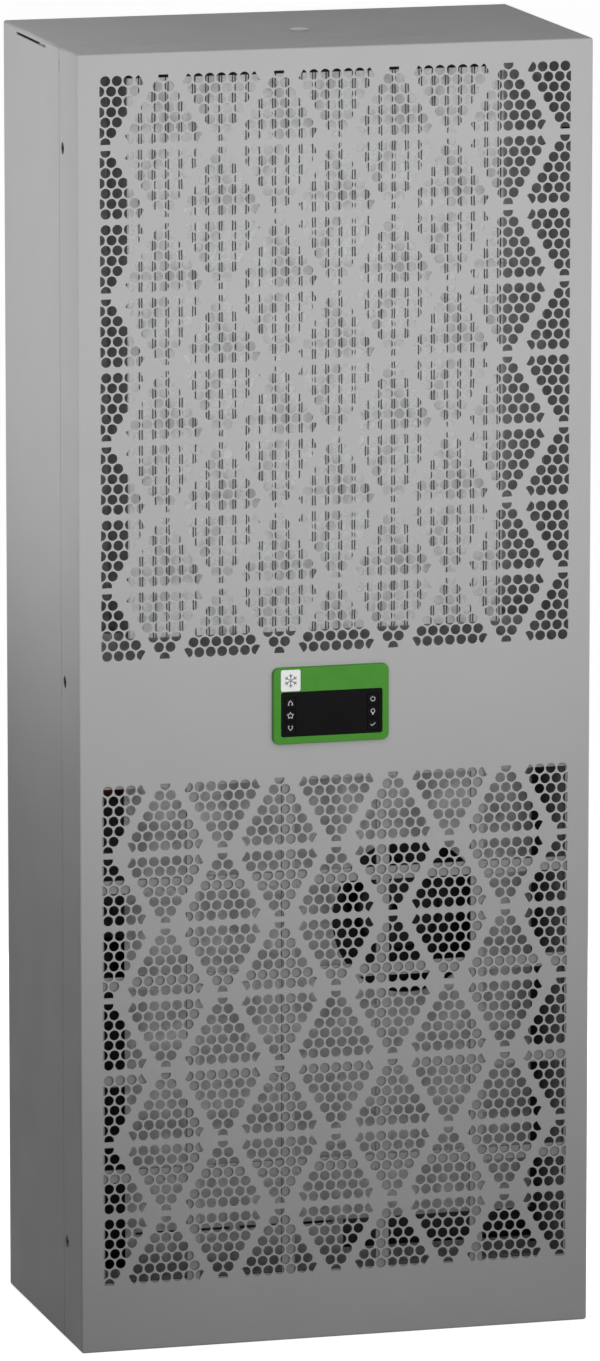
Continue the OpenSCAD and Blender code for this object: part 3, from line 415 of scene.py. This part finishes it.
for name, obj in nodes.items():
    mat = M[row_slots.get(name, "painted_sheet")]
    if obj.material_slots:
        for s in obj.material_slots:
            s.material = mat
    else:
        obj.data.materials.append(mat)

# ---------------------------------------------------------------- cabinet sheets
SCREWS_Z, SCREW_F, SCREW_HOLE_R = (78.0, 515.0, 924.0), 44.5, 4.9
NOTCH_LOW, NOTCH_HIGH, NOTCH_IN = 18.0, 9.0, 1.0             # in the cover's sides, below the top sheet
SLIT_F0, SLIT_F1, SLIT_DOWN, SLIT_H = 96.0, 187.0, 2.4, 2.2  # in the left side, below the top sheet
LIFT_F, LIFT_R = 106.0, 5.0                                  # hole of the lifting thread in the top
# The holes are drawn a little wider than HOLE_R, and their back loops BURST times as wide as the front ones,
# because their walls catch light that the photo doesn't show.
DRAWN_R, SEGMENTS, BURST = 3.95, 13, 1.09
# The corner holes of a triangle by (place in the row, row), and which way the cut looks, in degrees.
CORNER_HOLES = {(0, 0): 150, (ROWS - 1, 0): 30, (0, ROWS - 1): 270}
BEZEL_OVER, CUT_OUT_R = 3.6, 1.0                             # the cover's hole behind the bezel


def outline(off):
    """The cabinet's outline grown by off from the inner side of the sheet."""
    return rounded(0, TOP / 2, 2 * INNER, TOP - 2 * SHEET, CORNER, off, CORNER_STEPS)


def shell_sides(piece, f0, f1, side_holes, notch=None, top_holes=()):
    """Four sheets and four folded corners between two depths, with holes in the sheets and walls on all of
    their edges but the front ones. notch is the two heights and the depth of a notch in the sides' back edge."""
    flat = INNER - CORNER
    z0, z1 = SHEET + CORNER, TOP - SHEET - CORNER
    for s in (-1, 1):
        loop = [(f0, z0), (f1, z0), (f1, z1), (f0, z1)]
        if notch:
            low, high, f = notch
            loop = [(f0, z0), (f1, z0), (f1, low), (f, low), (f, high), (f1, high), (f1, z1), (f0, z1)]
        piece.plate(loop, side_holes(s), lambda u, v, s=s: at(s * HALF_W, u, v),
                    lambda u, v, s=s: at(s * INNER, u, v), rim=lambda a, b: min(a[0], b[0]) > f0)
    for outside, inside, holes in ((TOP, TOP - SHEET, list(top_holes)), (0.0, SHEET, [])):
        loop = [(-flat, f0), (flat, f0), (flat, f1), (-flat, f1)]
        piece.plate(loop, holes, lambda u, v, z=outside: at(u, v, z), lambda u, v, z=inside: at(u, v, z),
                    rim=lambda a, b: min(a[1], b[1]) > f0)
    outer, inner = outline(FOLD), outline(0.0)
    n = CORNER_STEPS + 1
    for q in range(4):
        part = slice(q * n, (q + 1) * n)
        o0, o1 = ring(outer[part], f0), ring(outer[part], f1)
        i0, i1 = ring(inner[part], f0), ring(inner[part], f1)
        piece.loft([o0, o1], closed=False)
        piece.loft([o1, i1], closed=False, smooth=False)
        piece.loft([i1, i0], closed=False)


def triangle(cx, top, upright, out):
    """Adds a triangle's holes to out. Its long row is at top, or its point if it is upright."""
    for j in range(ROWS):
        for i in range(ROWS - j):
            x, z = (i - (ROWS - 1 - j) / 2) * PITCH, -j * ROW
            loop = circle(x, z, DRAWN_R, SEGMENTS, math.pi / SEGMENTS)
            if (i, j) in CORNER_HOLES:
                a = math.radians(CORNER_HOLES[i, j])
                loop = clip(loop, (x, z), (math.cos(a), math.sin(a)), CUT)
            if upright:
                loop = [(p[0], -FIELD - p[1]) for p in loop][::-1]
            loop = [(cx + p[0], top + p[1]) for p in loop]
            if (min(p[0] for p in loop) > GRILLE_HALF_W - SLIVER
                    or max(p[0] for p in loop) < SLIVER - GRILLE_HALF_W):
                continue
            loop = clip(loop, (0, 0), (1, 0), GRILLE_HALF_W)
            loop = clip(loop, (0, 0), (-1, 0), GRILLE_HALF_W)
            if len(loop) > 2:
                out.append(loop)


perforation = []
for top, count in ((UPPER_TOP, UPPER_STRIPS), (LOWER_TOP, LOWER_STRIPS)):
    for i in range(count):
        for k in range(-TRIANGLES_ASIDE, TRIANGLES_ASIDE + 1):
            triangle(k * TRIANGLE_PITCH, top - i * STRIP, (k + i) % 2 != 0, perforation)
cut_out = rounded(CX, CZ, BEZEL_W - 2 * BEZEL_OVER, BEZEL_H - 2 * BEZEL_OVER, CUT_OUT_R, off=0, steps=3)

cover = Piece("cover_shell")
cover.plate(outline(0.0), perforation + [cut_out], facing(0), facing(SHEET),
            far_holes=[widened(loop, BURST) for loop in perforation] + [cut_out])
cover.loft([ring(outline(FOLD * math.sin(a)), FOLD * (1 - math.cos(a))) for a in quarter(FOLD_STEPS)])
shell_sides(cover, FOLD, COVER_END, lambda s: [circle(SCREW_F, z, SCREW_HOLE_R, sides=24) for z in SCREWS_Z],
            notch=(TOP - SHEET - NOTCH_LOW, TOP - SHEET - NOTCH_HIGH, COVER_END - NOTCH_IN))
cover.build(["painted_sheet"], replaces=("front_cover", "cover_sides"))

case = Piece("cabinet_shell")
slit_top = TOP - SHEET - SLIT_DOWN
slit = [(SLIT_F0, slit_top - SLIT_H), (SLIT_F1, slit_top - SLIT_H), (SLIT_F1, slit_top), (SLIT_F0, slit_top)]
shell_sides(case, BODY_START, DEPTH, lambda s: [slit] if s < 0 else [],
            top_holes=[circle(0, LIFT_F, LIFT_R, sides=32)])
case.loft([ring(outline(FOLD), BODY_START), ring(outline(0.0), BODY_START)], smooth=False)
case.build(["painted_sheet"],
           replaces=("left_panel", "right_panel", "top_panel", "bottom_panel"))

# ---------------------------------------------------------------- key panel
BEZEL_R, WIN_R = 5.0, 1.9
EDGE, EDGE_STEPS, LIP = 0.9, 6, 0.25
LEDGE_F, LEDGE_IN = -0.9, 1.0                # the window's seat in the bezel
BADGE_W, BADGE_H, BADGE_R = 15.7, 16.8, 1.5
BADGE_RIGHT, BADGE_DOWN = 5.9, 1.5           # from the bezel's upper left corner
BADGE_SUNK, BADGE_GAP, BADGE_B = 0.05, 0.2, -2.9
BADGE_F = -PROUD + BADGE_SUNK
bx, bz = CX - BEZEL_W / 2 + BADGE_RIGHT + BADGE_W / 2, CZ + BEZEL_H / 2 - BADGE_DOWN - BADGE_H / 2


def bezel_outer(o):
    return rounded(CX, CZ, BEZEL_W, BEZEL_H, BEZEL_R, o, steps=10)


def bezel_inner(o):
    return rounded(WX, WZ, WIN_W, WIN_H, WIN_R, o, steps=8)


def badge_outline(o):
    return rounded(bx, bz, BADGE_W, BADGE_H, BADGE_R, o, steps=6)


bezel = Piece("bezel_frame")
bezel.plate(bezel_outer(-EDGE), [bezel_inner(LIP), badge_outline(BADGE_GAP)], facing(-PROUD), None)
bezel.loft([ring(badge_outline(BADGE_GAP), f) for f in (-PROUD, BADGE_B)], smooth=False, caps=(False, True))
bezel.loft([ring(bezel_outer(-EDGE + EDGE * math.sin(a)), -PROUD + EDGE * (1 - math.cos(a)))
            for a in quarter(EDGE_STEPS)] + [ring(bezel_outer(0), 0)])
bezel.loft([ring(bezel_inner(o), f)
            for o, f in ((LIP, -PROUD), (0, -PROUD + LIP), (0, LEDGE_F), (-LEDGE_IN, LEDGE_F), (-LEDGE_IN, 0))],
           smooth=False)
bezel.plate(bezel_outer(0), [bezel_inner(-LEDGE_IN)], None, facing(0))
bezel.build(["green_plastic"], replaces=("controller_bezel",))

KEY, KEY_R, KEY_GAP = 8.4, 1.0, 0.3
KEY_FROM_SIDE, KEY_DOWN, KEY_DZ = 7.5, 0.8, 9.9
KEY_DX = WIN_W / 2 - KEY_FROM_SIDE
WIN_PLAY, PANE_R, PANE_EDGE = 0.1, 1.8, 0.2


def pane(o):
    return rounded(WX, WZ, WIN_W - WIN_PLAY, WIN_H - WIN_PLAY, PANE_R, o, steps=8)


window = Piece("window_panel")
places = {(column, row): (WX + column * KEY_DX, WZ - KEY_DOWN + row * KEY_DZ)
          for column in (-1, 1) for row in (-1, 0, 1)}
hole = KEY + 2 * KEY_GAP
key_holes = [rounded(x, z, hole, hole, KEY_R, off=0, steps=4) for x, z in places.values()]
window.plate(pane(-PANE_EDGE), key_holes, facing(WIN_F), facing(WIN_B))
window.loft([ring(pane(-PANE_EDGE), WIN_F), ring(pane(0), WIN_F + PANE_EDGE), ring(pane(0), WIN_B)], smooth=False)
window.build(["window"], replaces=("display_window",))


def star(r0, r1):
    """A star of five points."""
    return [(r * math.sin(math.pi * i / 5), r * math.cos(math.pi * i / 5))
            for i, r in ((i, r0 if i % 2 == 0 else r1) for i in range(10))]


def arc(cx, cz, r, a0, a1, n):
    return [(cx + r * math.cos(math.radians(a0 + (a1 - a0) * i / n)),
             cz + r * math.sin(math.radians(a0 + (a1 - a0) * i / n))) for i in range(n + 1)]


# Each symbol is a list of lines, each line its points round the key's middle and whether it is closed.
ARCH = [(-0.75, -1.65), (-1.7, -1.65), (-1.35, 0.0), (0, 1.65), (1.35, 0.0), (1.7, -1.65), (0.75, -1.65)]
ICONS = {
    "key_up": [(ARCH, False)],
    "key_mode": [(star(2.45, 1.4), True)],
    "key_down": [([(x, -z) for x, z in ARCH], False)],
    "key_power": [(arc(0, 0.0, 1.7, -235, 55, 18), False), ([(0, 0.7), (0, 2.1)], False)],
    "key_lamp": [(arc(0, 0.5, 1.5, -60, 240, 14), True),
                 ([(-0.25, -1.3), (0.25, -1.3), (0.25, -2.2), (-0.25, -2.2)], True)],
    "key_set": [([(-1.8, 0.1), (-0.6, -1.0), (1.9, 1.1)], False)],
}
ICON_LINE, ICON_PROUD, ICON_SUNK = 0.36, 0.06, 0.05
KEYS = {"key_up": (-1, 1), "key_mode": (-1, 0), "key_down": (-1, -1),
        "key_power": (1, 1), "key_lamp": (1, 0), "key_set": (1, -1)}
# a key's growth and depth, from its face over its edge to the flange behind the window
KEY_PROFILE = [(-0.35, WIN_F), (-0.1, WIN_F + 0.08), (0.0, WIN_F + 0.35), (0.0, WIN_B + 0.15),
               (0.7, WIN_B + 0.15), (0.7, WIN_B + 0.95)]
KEY_STEM_R, KEY_STEM = 2.2, (-0.05, 1.79)
for key, spot in KEYS.items():
    x, z = places[spot]
    cap = Piece(key + "_cap")
    cap.loft([ring(rounded(x, z, KEY, KEY, KEY_R, o, steps=4), f) for o, f in KEY_PROFILE],
             smooth=False, caps=(True, True))
    cap.loft([ring(circle(x, z, KEY_STEM_R, sides=20), f) for f in KEY_STEM], caps=(False, True))
    for line, closed in ICONS[key]:
        stroke(cap, [(x + p[0], z + p[1]) for p in line], ICON_LINE, closed, WIN_F - ICON_PROUD, WIN_F + ICON_SUNK)
    cap.build(["key_rubber", "icon"], body=key + "_body", replaces=(key,), merge=False)

# The badge is a plain tile with a snowflake: six arms, each with two side arms.
BADGE_PROFILE = [(-0.35, BADGE_F), (-0.1, BADGE_F + 0.08), (0.0, BADGE_F + 0.3), (0.0, BADGE_B)]
ARMS, ARM_FROM, ARM_TO, ARM_LINE = 6, 0.3, 5.4, 0.8
TWIG_FROM, TWIG_L, TWIG_TURN, TWIG_LINE = 3.2, 1.9, 55, 0.7
FLAKE_PROUD, FLAKE_SUNK = 0.04, 0.1


def flake_line(start, end, w):
    stroke(badge, [(bx + start.x, bz + start.y), (bx + end.x, bz + end.y)], w, False,
           BADGE_F - FLAKE_PROUD, BADGE_F + FLAKE_SUNK)


badge = Piece("badge_tile")
badge.loft([ring(badge_outline(o), f) for o, f in BADGE_PROFILE], smooth=False, caps=(True, False))
for k in range(ARMS):
    a = math.radians(90 + 360 / ARMS * k)
    arm = Vector((math.cos(a), math.sin(a)))
    flake_line(arm * ARM_FROM, arm * ARM_TO, ARM_LINE)
    for turn in (-1, 1):
        b = a + turn * math.radians(TWIG_TURN)
        root = arm * TWIG_FROM
        flake_line(root, root + Vector((math.cos(b), math.sin(b))) * TWIG_L, TWIG_LINE)
badge.build(["badge", "filter_frame"], merge=False)

# ---------------------------------------------------------------- condenser, seen through the upper grille
# Each of the upright strips is a wide and a narrow band, slightly waved, with gaps down to a core whose dark
# colour is painted shade.
STRIPS, FIRST_X, STRIP_PITCH, ROW_H = 28, -147.0, 10.5, 4.2
WIDE, NARROW, BAND_GAP, WIDE_PARTS = 7.5, 1.0, 1.0, 4
CORE_F, CORE_B, BAND_IN, BAND_T, CORE_IN, CORE_EDGE = 58.0, 83.0, 0.5, 0.5, 2.2, 0.2
WAVES = ((0.22, 0.42, 1), (0.12, 1.05, 2))  # height, angle per mm, share of the strip's phase
FULL_TURN, UNEVEN = 6.28, 0.1

random.seed(7)
fins = Piece("condenser_fins")
_, _, _, _, z0, z1 = in_mm(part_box("condenser_core"))
rows = int((z1 - z0) / ROW_H)
for s in range(STRIPS):
    left = FIRST_X + s * STRIP_PITCH
    phase = random.random() * FULL_TURN
    right = left + WIDE + BAND_GAP
    for x0, x1, count in ((left, left + WIDE, WIDE_PARTS), (right, right + NARROW, 1)):
        grid = []
        for r in range(rows + 1):
            z = z0 + (z1 - z0) * r / rows
            wave = sum(height * math.sin(z * k + part * phase) for height, k, part in WAVES)
            front = [at(x0 + (x1 - x0) * c / count, CORE_F + BAND_IN + wave + random.uniform(-UNEVEN, UNEVEN), z)
                     for c in range(count + 1)]
            grid.append(front + [p + Vector((0, BAND_T / MM, 0)) for p in reversed(front)])
        fins.loft(grid, smooth=False, caps=(True, True))
# the core's dark look is painted shade, standing in for the shade between the coil's fins
slab(fins, FIRST_X, -FIRST_X, CORE_F + CORE_IN, CORE_B, z0, z1, CORE_EDGE, mat=1)
fins.build(["fins", "core_painted_shade"], replaces=("condenser_core",), merge=False)

# ---------------------------------------------------------------- filter behind the lower grille
# Its frame is as deep as its node, and the bars that cross it are thin.
BAR, BAR_PITCH, FIRST_BAR = 10.0, 75.2, 18.2
PAST_PITCHES = 33.5  # the part of the grid's height that is beyond whole pitches
BARS_F, BARS_B, FRAME_B = SHEET + 0.2, SHEET + 2.4, SHEET + 8.0
FRAME_OVER = 4.0     # how far the frame's ring stands out past the sheet that the bars are cut from
_, x1, _, _, z0, z1 = in_mm(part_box("filter_grid"))
cells = []
across, up = round((2 * x1 - BAR) / BAR_PITCH), round((z1 - z0 - PAST_PITCHES) / BAR_PITCH)
for i in range(across):
    for j in range(up):
        left = (i - across / 2) * BAR_PITCH + BAR / 2
        right = left + BAR_PITCH - BAR
        low = z0 + BAR if j == 0 else z0 + FIRST_BAR + j * BAR_PITCH + BAR / 2
        high = z1 - BAR if j == up - 1 else z0 + FIRST_BAR + (j + 1) * BAR_PITCH - BAR / 2
        cells.append([(left, low), (right, low), (right, high), (left, high)])
bars = Piece("filter_bars")
bars.plate(framed(x1 - FRAME_OVER, z0 + FRAME_OVER, z1 - FRAME_OVER), cells, facing(BARS_F), facing(BARS_B),
           rim=lambda a, b: True)
bars.plate(framed(x1, z0, z1), [framed(x1 - BAR, z0 + BAR, z1 - BAR)], facing(SHEET), facing(FRAME_B),
           rim=lambda a, b: True)
bars.build(["filter_frame"], replaces=("filter_grid",))


# ---------------------------------------------------------------- fans, coil, plug and compressor
def centre(box):
    """The middle of a node on an axis along the depth, and its two ends: x, z, f0, f1."""
    x0, x1, f0, f1, z0, z1 = in_mm(box)
    return (x0 + x1) / 2, (z0 + z1) / 2, f0, f1


def behind(parts, f):
    """Turned parts that are given by their depth behind f."""
    return [[(r, f + depth) for r, depth in part] for part in parts]


BLADES, BORE = 7, 5
# radial wheel: eye ring, back plate, dish round the hub, and blades that lean back
WHEEL_R, EYE, WHEEL_L, PLATE, RIM = 95.0, 67.0, 42.0, 2, 0.8
BOSS, BOSS_B = 12, 15
DISH_F, DISH_IN, DISH, DISH_ROUND, DISH_B = 12, 30, 33, 34, 16
DISH_EDGE = 1.2
SHAFT_POLE = 0.01
x, z, f0, f1 = centre(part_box("condenser_fan_wheel"))
wheel = Piece("condenser_wheel")
turned(wheel, x, z, behind([
    [(EYE, PLATE), (EYE, RIM), (EYE + RIM, 0)],
    [(EYE + RIM, 0), (WHEEL_R - RIM, 0)],
    [(WHEEL_R - RIM, 0), (WHEEL_R, RIM), (WHEEL_R, PLATE)],
    [(WHEEL_R, PLATE), (EYE, PLATE)],
    [(DISH, WHEEL_L - PLATE), (WHEEL_R, WHEEL_L - PLATE)],
    [(WHEEL_R, WHEEL_L - PLATE), (WHEEL_R, WHEEL_L)],
    [(WHEEL_R, WHEEL_L), (BORE, WHEEL_L)],
    [(BORE, BOSS_B), (BOSS, BOSS_B)],
    [(BOSS, BOSS_B), (BOSS, DISH_F)],
    [(BOSS, DISH_F), (DISH_IN, DISH_F), (DISH, DISH_F + DISH_EDGE), (DISH_ROUND, DISH_B)],
    [(DISH_ROUND, DISH_B), (DISH_ROUND, WHEEL_L - PLATE)],
], f0) + [[(BORE, f0 + WHEEL_L), (BORE, f1)], [(BORE, f1), (SHAFT_POLE, f1)]])
VANE_FIRST, VANE_LEAN, VANE_BOW = 0.16, 0.36, 0.05  # radians
VANE_STEPS, VANE_HALF_T, VANE_FROM, VANE_SHORT, VANE_IN = 8, 1.0, 1.5, 2.5, 1.6
for b in range(BLADES):
    first = 2 * math.pi * b / BLADES + VANE_FIRST
    rings = []
    for s in range(VANE_STEPS + 1):
        k = s / VANE_STEPS
        r = EYE + VANE_FROM + (WHEEL_R - EYE - VANE_SHORT) * s / VANE_STEPS
        a = first - VANE_LEAN * k - VANE_BOW * math.sin(math.pi * s / VANE_STEPS)
        t = VANE_HALF_T / r
        near, far = f0 + VANE_IN, f0 + WHEEL_L - VANE_IN
        rings.append([polar(x, z, r, a - t, near), polar(x, z, r, a + t, near),
                      polar(x, z, r, a + t, far), polar(x, z, r, a - t, far)])
    wheel.loft(rings, smooth=False, caps=(True, True))
wheel.build(["black_plastic"], body="condenser_fan_wheel_body",
            replaces=("condenser_fan_wheel",), merge=False)

# axial rotor: hub cup, and blades that are twisted and curved
x, z, f0, f1 = centre(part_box("evaporator_fan_rotor"))
HUB, CAP_R, CAP_DEEP, CUP_DEEP, HUB_EDGE = 33.0, 14, 2, 5, 1
CUP_FACE = [(CAP_R, CAP_DEEP), (26, 1.2), (31, 2.2), (HUB, CUP_DEEP)]
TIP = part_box("evaporator_fan_rotor")[1].x * MM - x
rotor = Piece("evaporator_rotor")
turned(rotor, x, z, behind([
    [(BORE, 0), (CAP_R, 0)],
    [(CAP_R, 0), (CAP_R, CAP_DEEP)],
    CUP_FACE,
], f0) + [
    [(HUB, f0 + CUP_DEEP), (HUB, f1 - HUB_EDGE)],
    [(HUB, f1 - HUB_EDGE), (HUB - HUB_EDGE, f1)],
    [(HUB - HUB_EDGE, f1), (BORE, f1)],
    [(BORE, f1), (BORE, f0)],
])
SPAN_STEPS, CHORD_STEPS, ROOT_IN, BLADE_FRONT = 9, 6, 0.6, 1.0
LEAN, UNTWIST = 48, 20  # degrees at the root, and how much less at the tip
CHORD, CHORD_GROWS, TIP_CUT, TIP_FROM = 25, 9, 14, 0.75
HALF_T, THINNEST, CAMBER, SWEEP = 1.2, 0.02, 2.4, 0.14
middle = (f0 + f1) / 2
for b in range(BLADES):
    rings = []
    for s in range(SPAN_STEPS + 1):
        k = s / SPAN_STEPS
        r = HUB - ROOT_IN + (TIP - HUB + ROOT_IN) * k
        lean = math.radians(LEAN - UNTWIST * k)
        chord = CHORD + CHORD_GROWS * k - TIP_CUT * max(0.0, k - TIP_FROM)
        first = 2 * math.pi * b / BLADES + SWEEP * k * k
        section = []
        for side in (1, -1):
            for c in range(CHORD_STEPS + 1):
                u = (c / CHORD_STEPS - 0.5) * side
                thick = HALF_T * math.sqrt(max(THINNEST, 1 - (2 * u) ** 2)) * side
                along, over = chord * u, thick + CAMBER * (1 - (2 * u) ** 2)
                round_axis = along * math.cos(lean) + over * math.sin(lean)
                depth = -along * math.sin(lean) + over * math.cos(lean)
                section.append(polar(x, z, r, first + round_axis / r, middle + depth - BLADE_FRONT))
        rings.append(section)
    rotor.loft(rings, caps=(True, True))
rotor.build(["black_plastic"], body="evaporator_fan_rotor_body",
            replaces=("evaporator_fan_rotor",), merge=False)

# finger guard: rings and spokes of wire about the rotor's axis
WIRE_R, GUARD_RINGS, GUARD_PITCH, FIRST_RING = 1.0, 4, 18.0, 1.0
SPOKES_AT, SPOKE_PATH = (45, 135, 225, 315), (0.0, 40.0, 86.0)  # degrees; radii
RING_STEPS, WIRE_SIDES, SPOKE_SIDES = 80, 10, 12
_, _, f0, _, _, _ = in_mm(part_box("finger_guard"))
wire_f = f0 + WIRE_R
guard = Piece("guard_wires")
for i in range(1, GUARD_RINGS + 1):
    r = GUARD_PITCH * i + FIRST_RING
    guard.loft([[polar(x, z, r + WIRE_R * math.cos(w), a, wire_f + WIRE_R * math.sin(w))
                 for w in turns(WIRE_SIDES)] for a in turns(RING_STEPS) + [2 * math.pi]])
for a in SPOKES_AT:
    d = Vector((math.cos(math.radians(a)), math.sin(math.radians(a))))
    tube(guard, [at(x + d.x * r, wire_f, z + d.y * r) for r in SPOKE_PATH], WIRE_R / MM, SPOKE_SIDES)
guard.build(["zinc_steel"], replaces=("finger_guard",), merge=False)

# evaporator: thin fins on two rows of copper tubes
FIN_T, FIN_PITCH, FIN_EDGE = 0.4, 2.8, 0.1
TUBE_R, TUBE_SIDES, TUBE_PITCH = 3.8, 10, 21.75
TUBE_FIRST, TUBE_LAST, TUBE_ROW_IN, TUBE_END_IN = 12, 8, 7, 0.2
x0, x1, f0, f1, z0, z1 = in_mm(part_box("evaporator_core"))
coil = Piece("evaporator_fins")
count = int((x1 - x0 - FIN_T) / FIN_PITCH)
for i in range(count + 1):
    x = x0 + (x1 - x0 - FIN_T) * i / count
    slab(coil, x, x + FIN_T, f0, f1, z0, z1, FIN_EDGE)
z = z0 + TUBE_FIRST
while z < z1 - TUBE_LAST:
    for f in (f0 + TUBE_ROW_IN, f1 - TUBE_ROW_IN):
        tube(coil, [at(x0 + TUBE_END_IN, f, z), at(x1 - TUBE_END_IN, f, z)], TUBE_R / MM, TUBE_SIDES, mat=1)
    z += TUBE_PITCH
coil.build(["fins", "copper"], replaces=("evaporator_core",), merge=False)

# plug in the top: a stem and a low cap with a round edge, in metres
STEM_R, RIM_UP, CAP_EDGE, CAP_STEPS = 0.0032, 0.0009, 0.0012, 5
lo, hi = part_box("lifting_plug")
cx, cy, radius = (lo.x + hi.x) / 2, (lo.y + hi.y) / 2, (hi.x - lo.x) / 2
top = TOP / MM
plug = Piece("plug_cap")
profile = [(STEM_R, lo.z), (STEM_R, top), (radius, top), (radius, top + RIM_UP)]
profile += [(radius - CAP_EDGE * math.sin(a), hi.z - (hi.z - top - RIM_UP) * (1 - math.sin(a)))
            for a in quarter(CAP_STEPS)[1:]]
standing(plug, cx, cy, profile, sides=48)
plug.build(["light_plastic"], replaces=("lifting_plug",), merge=False)

# compressor: a drawn can with a round foot, a weld seam and a domed top, in metres
SEAM_AT, SEAM_HALF, SEAM_IN = 0.36, 0.0012, 0.0007
DOME, DOME_STEP = 0.022, 8                         # height, degrees
POLE = 0.02                                        # share of the radius where the can closes
FOOT = [(0.8, 0.0), (0.93, 0.006), (1.0, 0.0132)]  # share of the radius, height
lo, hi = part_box("compressor_shell")
cx, cy, radius = (lo.x + hi.x) / 2, (lo.y + hi.y) / 2, (hi.x - lo.x) / 2
seam = lo.z + (hi.z - lo.z) * SEAM_AT
shell = Piece("compressor_can")
profile = [(radius * POLE, lo.z)] + [(radius * share, lo.z + height) for share, height in FOOT]
profile += [(radius, seam - SEAM_HALF), (radius - SEAM_IN, seam), (radius, seam + SEAM_HALF)]
profile += [(radius * math.cos(math.radians(a)), hi.z - DOME + DOME * math.sin(math.radians(a)))
            for a in range(0, 90, DOME_STEP)]
profile += [(radius * POLE, hi.z)]
standing(shell, cx, cy, profile, TURN_SIDES)
shell.build(["black_paint"], replaces=("compressor_shell",), merge=False)

# ---------------------------------------------------------------- light, floor, camera, in metres
AMBIENT, WHITE = 0.145, 1.0
FLOOR_HALF, FLOOR_Z, FLOOR_GREY, FLOOR_SEEN, FLOOR_GLOW = 14.0, -0.0004, 0.28, 0.96, 0.845
scene = bpy.context.scene
scene.view_settings.view_transform = "Standard"


def seen_ray(tree):
    """1 for a ray that shows the background: from the camera, or on from a shiny or a clear surface."""
    path = tree.nodes.new("ShaderNodeLightPath")
    seen = path.outputs["Is Camera Ray"]
    for name in ("Is Glossy Ray", "Is Transmission Ray"):
        either = tree.nodes.new("ShaderNodeMath")
        either.operation = "MAXIMUM"
        tree.links.new(seen, either.inputs[0])
        tree.links.new(path.outputs[name], either.inputs[1])
        seen = either.outputs[0]
    return seen


def show(tree, lit, seen, output):
    """Sends lit to the light's own rays and seen to the rays that show the background."""
    mix = tree.nodes.new("ShaderNodeMixShader")
    tree.links.new(seen_ray(tree), mix.inputs["Fac"])
    tree.links.new(lit.outputs[0], mix.inputs[1])
    tree.links.new(seen.outputs[0], mix.inputs[2])
    out = tree.nodes.new(output)
    tree.links.new(mix.outputs[0], out.inputs["Surface"])


world = bpy.data.worlds.new("world")
scene.world = world
world.use_nodes = True
tree = world.node_tree
tree.nodes.clear()
backgrounds = []
for strength in (AMBIENT, WHITE):
    background = tree.nodes.new("ShaderNodeBackground")
    background.inputs["Color"].default_value = (1, 1, 1, 1)
    background.inputs["Strength"].default_value = strength
    backgrounds.append(background)
show(tree, *backgrounds, "ShaderNodeOutputWorld")


def lamp(name, kind, place, aim, energy):
    """A light at a place that looks at its aim, and that the camera doesn't see."""
    light = bpy.data.lights.new(name, kind)
    light.energy = energy
    obj = bpy.data.objects.new(name, light)
    obj.location = place
    obj.rotation_euler = (Vector(aim) - Vector(place)).to_track_quat("-Z", "Y").to_euler()
    obj.visible_camera = False
    scene.collection.objects.link(obj)
    return light


def area(name, place, aim, w, h, energy):
    """A lamp with a rectangle of w by h for its face."""
    light = lamp(name, "AREA", place, aim, energy)
    light.shape = "RECTANGLE"
    light.size, light.size_y = w, h


area("light_front", (0.05, -0.57, 0.99), (0.05, 0.0, 0.99), 1.2, 1.12, 3.85)
beam = lamp("light_beam", "SPOT", (0.62, -2.9, 0.5), (-0.05, -0.114, 0.97), 82)
beam.shadow_soft_size, beam.spot_size, beam.spot_blend = 0.27, math.radians(43), 1.0
area("light_low", (0.05, -0.62, 0.06), (0.05, 0.0, 0.06), 0.7, 0.1, 0.48)
area("light_left", (-0.38, 0.05, 0.93), (0.0, 0.05, 0.93), 0.50, 0.80, 1.1)
area("light_right", (1.2, 0.1, 0.5), (0.2, 0.1, 0.5), 0.5, 0.9, 4.5)
area("light_back", (0.3, 1.3, 0.5), (0.1, 0.1, 0.5), 0.7, 0.9, 6)

floor_mesh = bpy.data.meshes.new("floor")
corners = [(sx * FLOOR_HALF, sy * FLOOR_HALF, FLOOR_Z) for sx, sy in ((-1, -1), (1, -1), (1, 1), (-1, 1))]
floor_mesh.from_pydata(corners, [], [(0, 1, 2, 3)])
floor = bpy.data.objects.new("floor", floor_mesh)
scene.collection.objects.link(floor)
floor_look = bpy.data.materials.new("floor")
floor_look.use_nodes = True
tree = floor_look.node_tree
tree.nodes.clear()
greys = []
for grey in (FLOOR_GREY, FLOOR_SEEN):
    diffuse = tree.nodes.new("ShaderNodeBsdfDiffuse")
    diffuse.inputs["Color"].default_value = (grey, grey, grey, 1)
    greys.append(diffuse)
glow = tree.nodes.new("ShaderNodeEmission")
glow.inputs["Strength"].default_value = FLOOR_GLOW
pale = tree.nodes.new("ShaderNodeAddShader")
tree.links.new(greys[1].outputs[0], pale.inputs[0])
tree.links.new(glow.outputs[0], pale.inputs[1])
show(tree, greys[0], pale, "ShaderNodeOutputMaterial")
floor_mesh.materials.append(floor_look)

CAMERA_TURN, CAMERA_UP, CAMERA_FAR, CAMERA_AIM = -15.50, 10.535, 7.836, (0.0345, 0.114, 0.4718)
az, el = math.radians(CAMERA_TURN), math.radians(CAMERA_UP)
back = Vector((math.sin(az) * math.cos(el), -math.cos(az) * math.cos(el), math.sin(el)))
cam = bpy.data.cameras.new("camera")
cam.sensor_fit, cam.sensor_width = "AUTO", 36
cam.lens = 264.1
cam.clip_end = 60
camera = bpy.data.objects.new("camera", cam)
camera.location = Vector(CAMERA_AIM) + back * CAMERA_FAR
camera.rotation_euler = (-back).to_track_quat("-Z", "Y").to_euler()
scene.collection.objects.link(camera)
scene.camera = camera
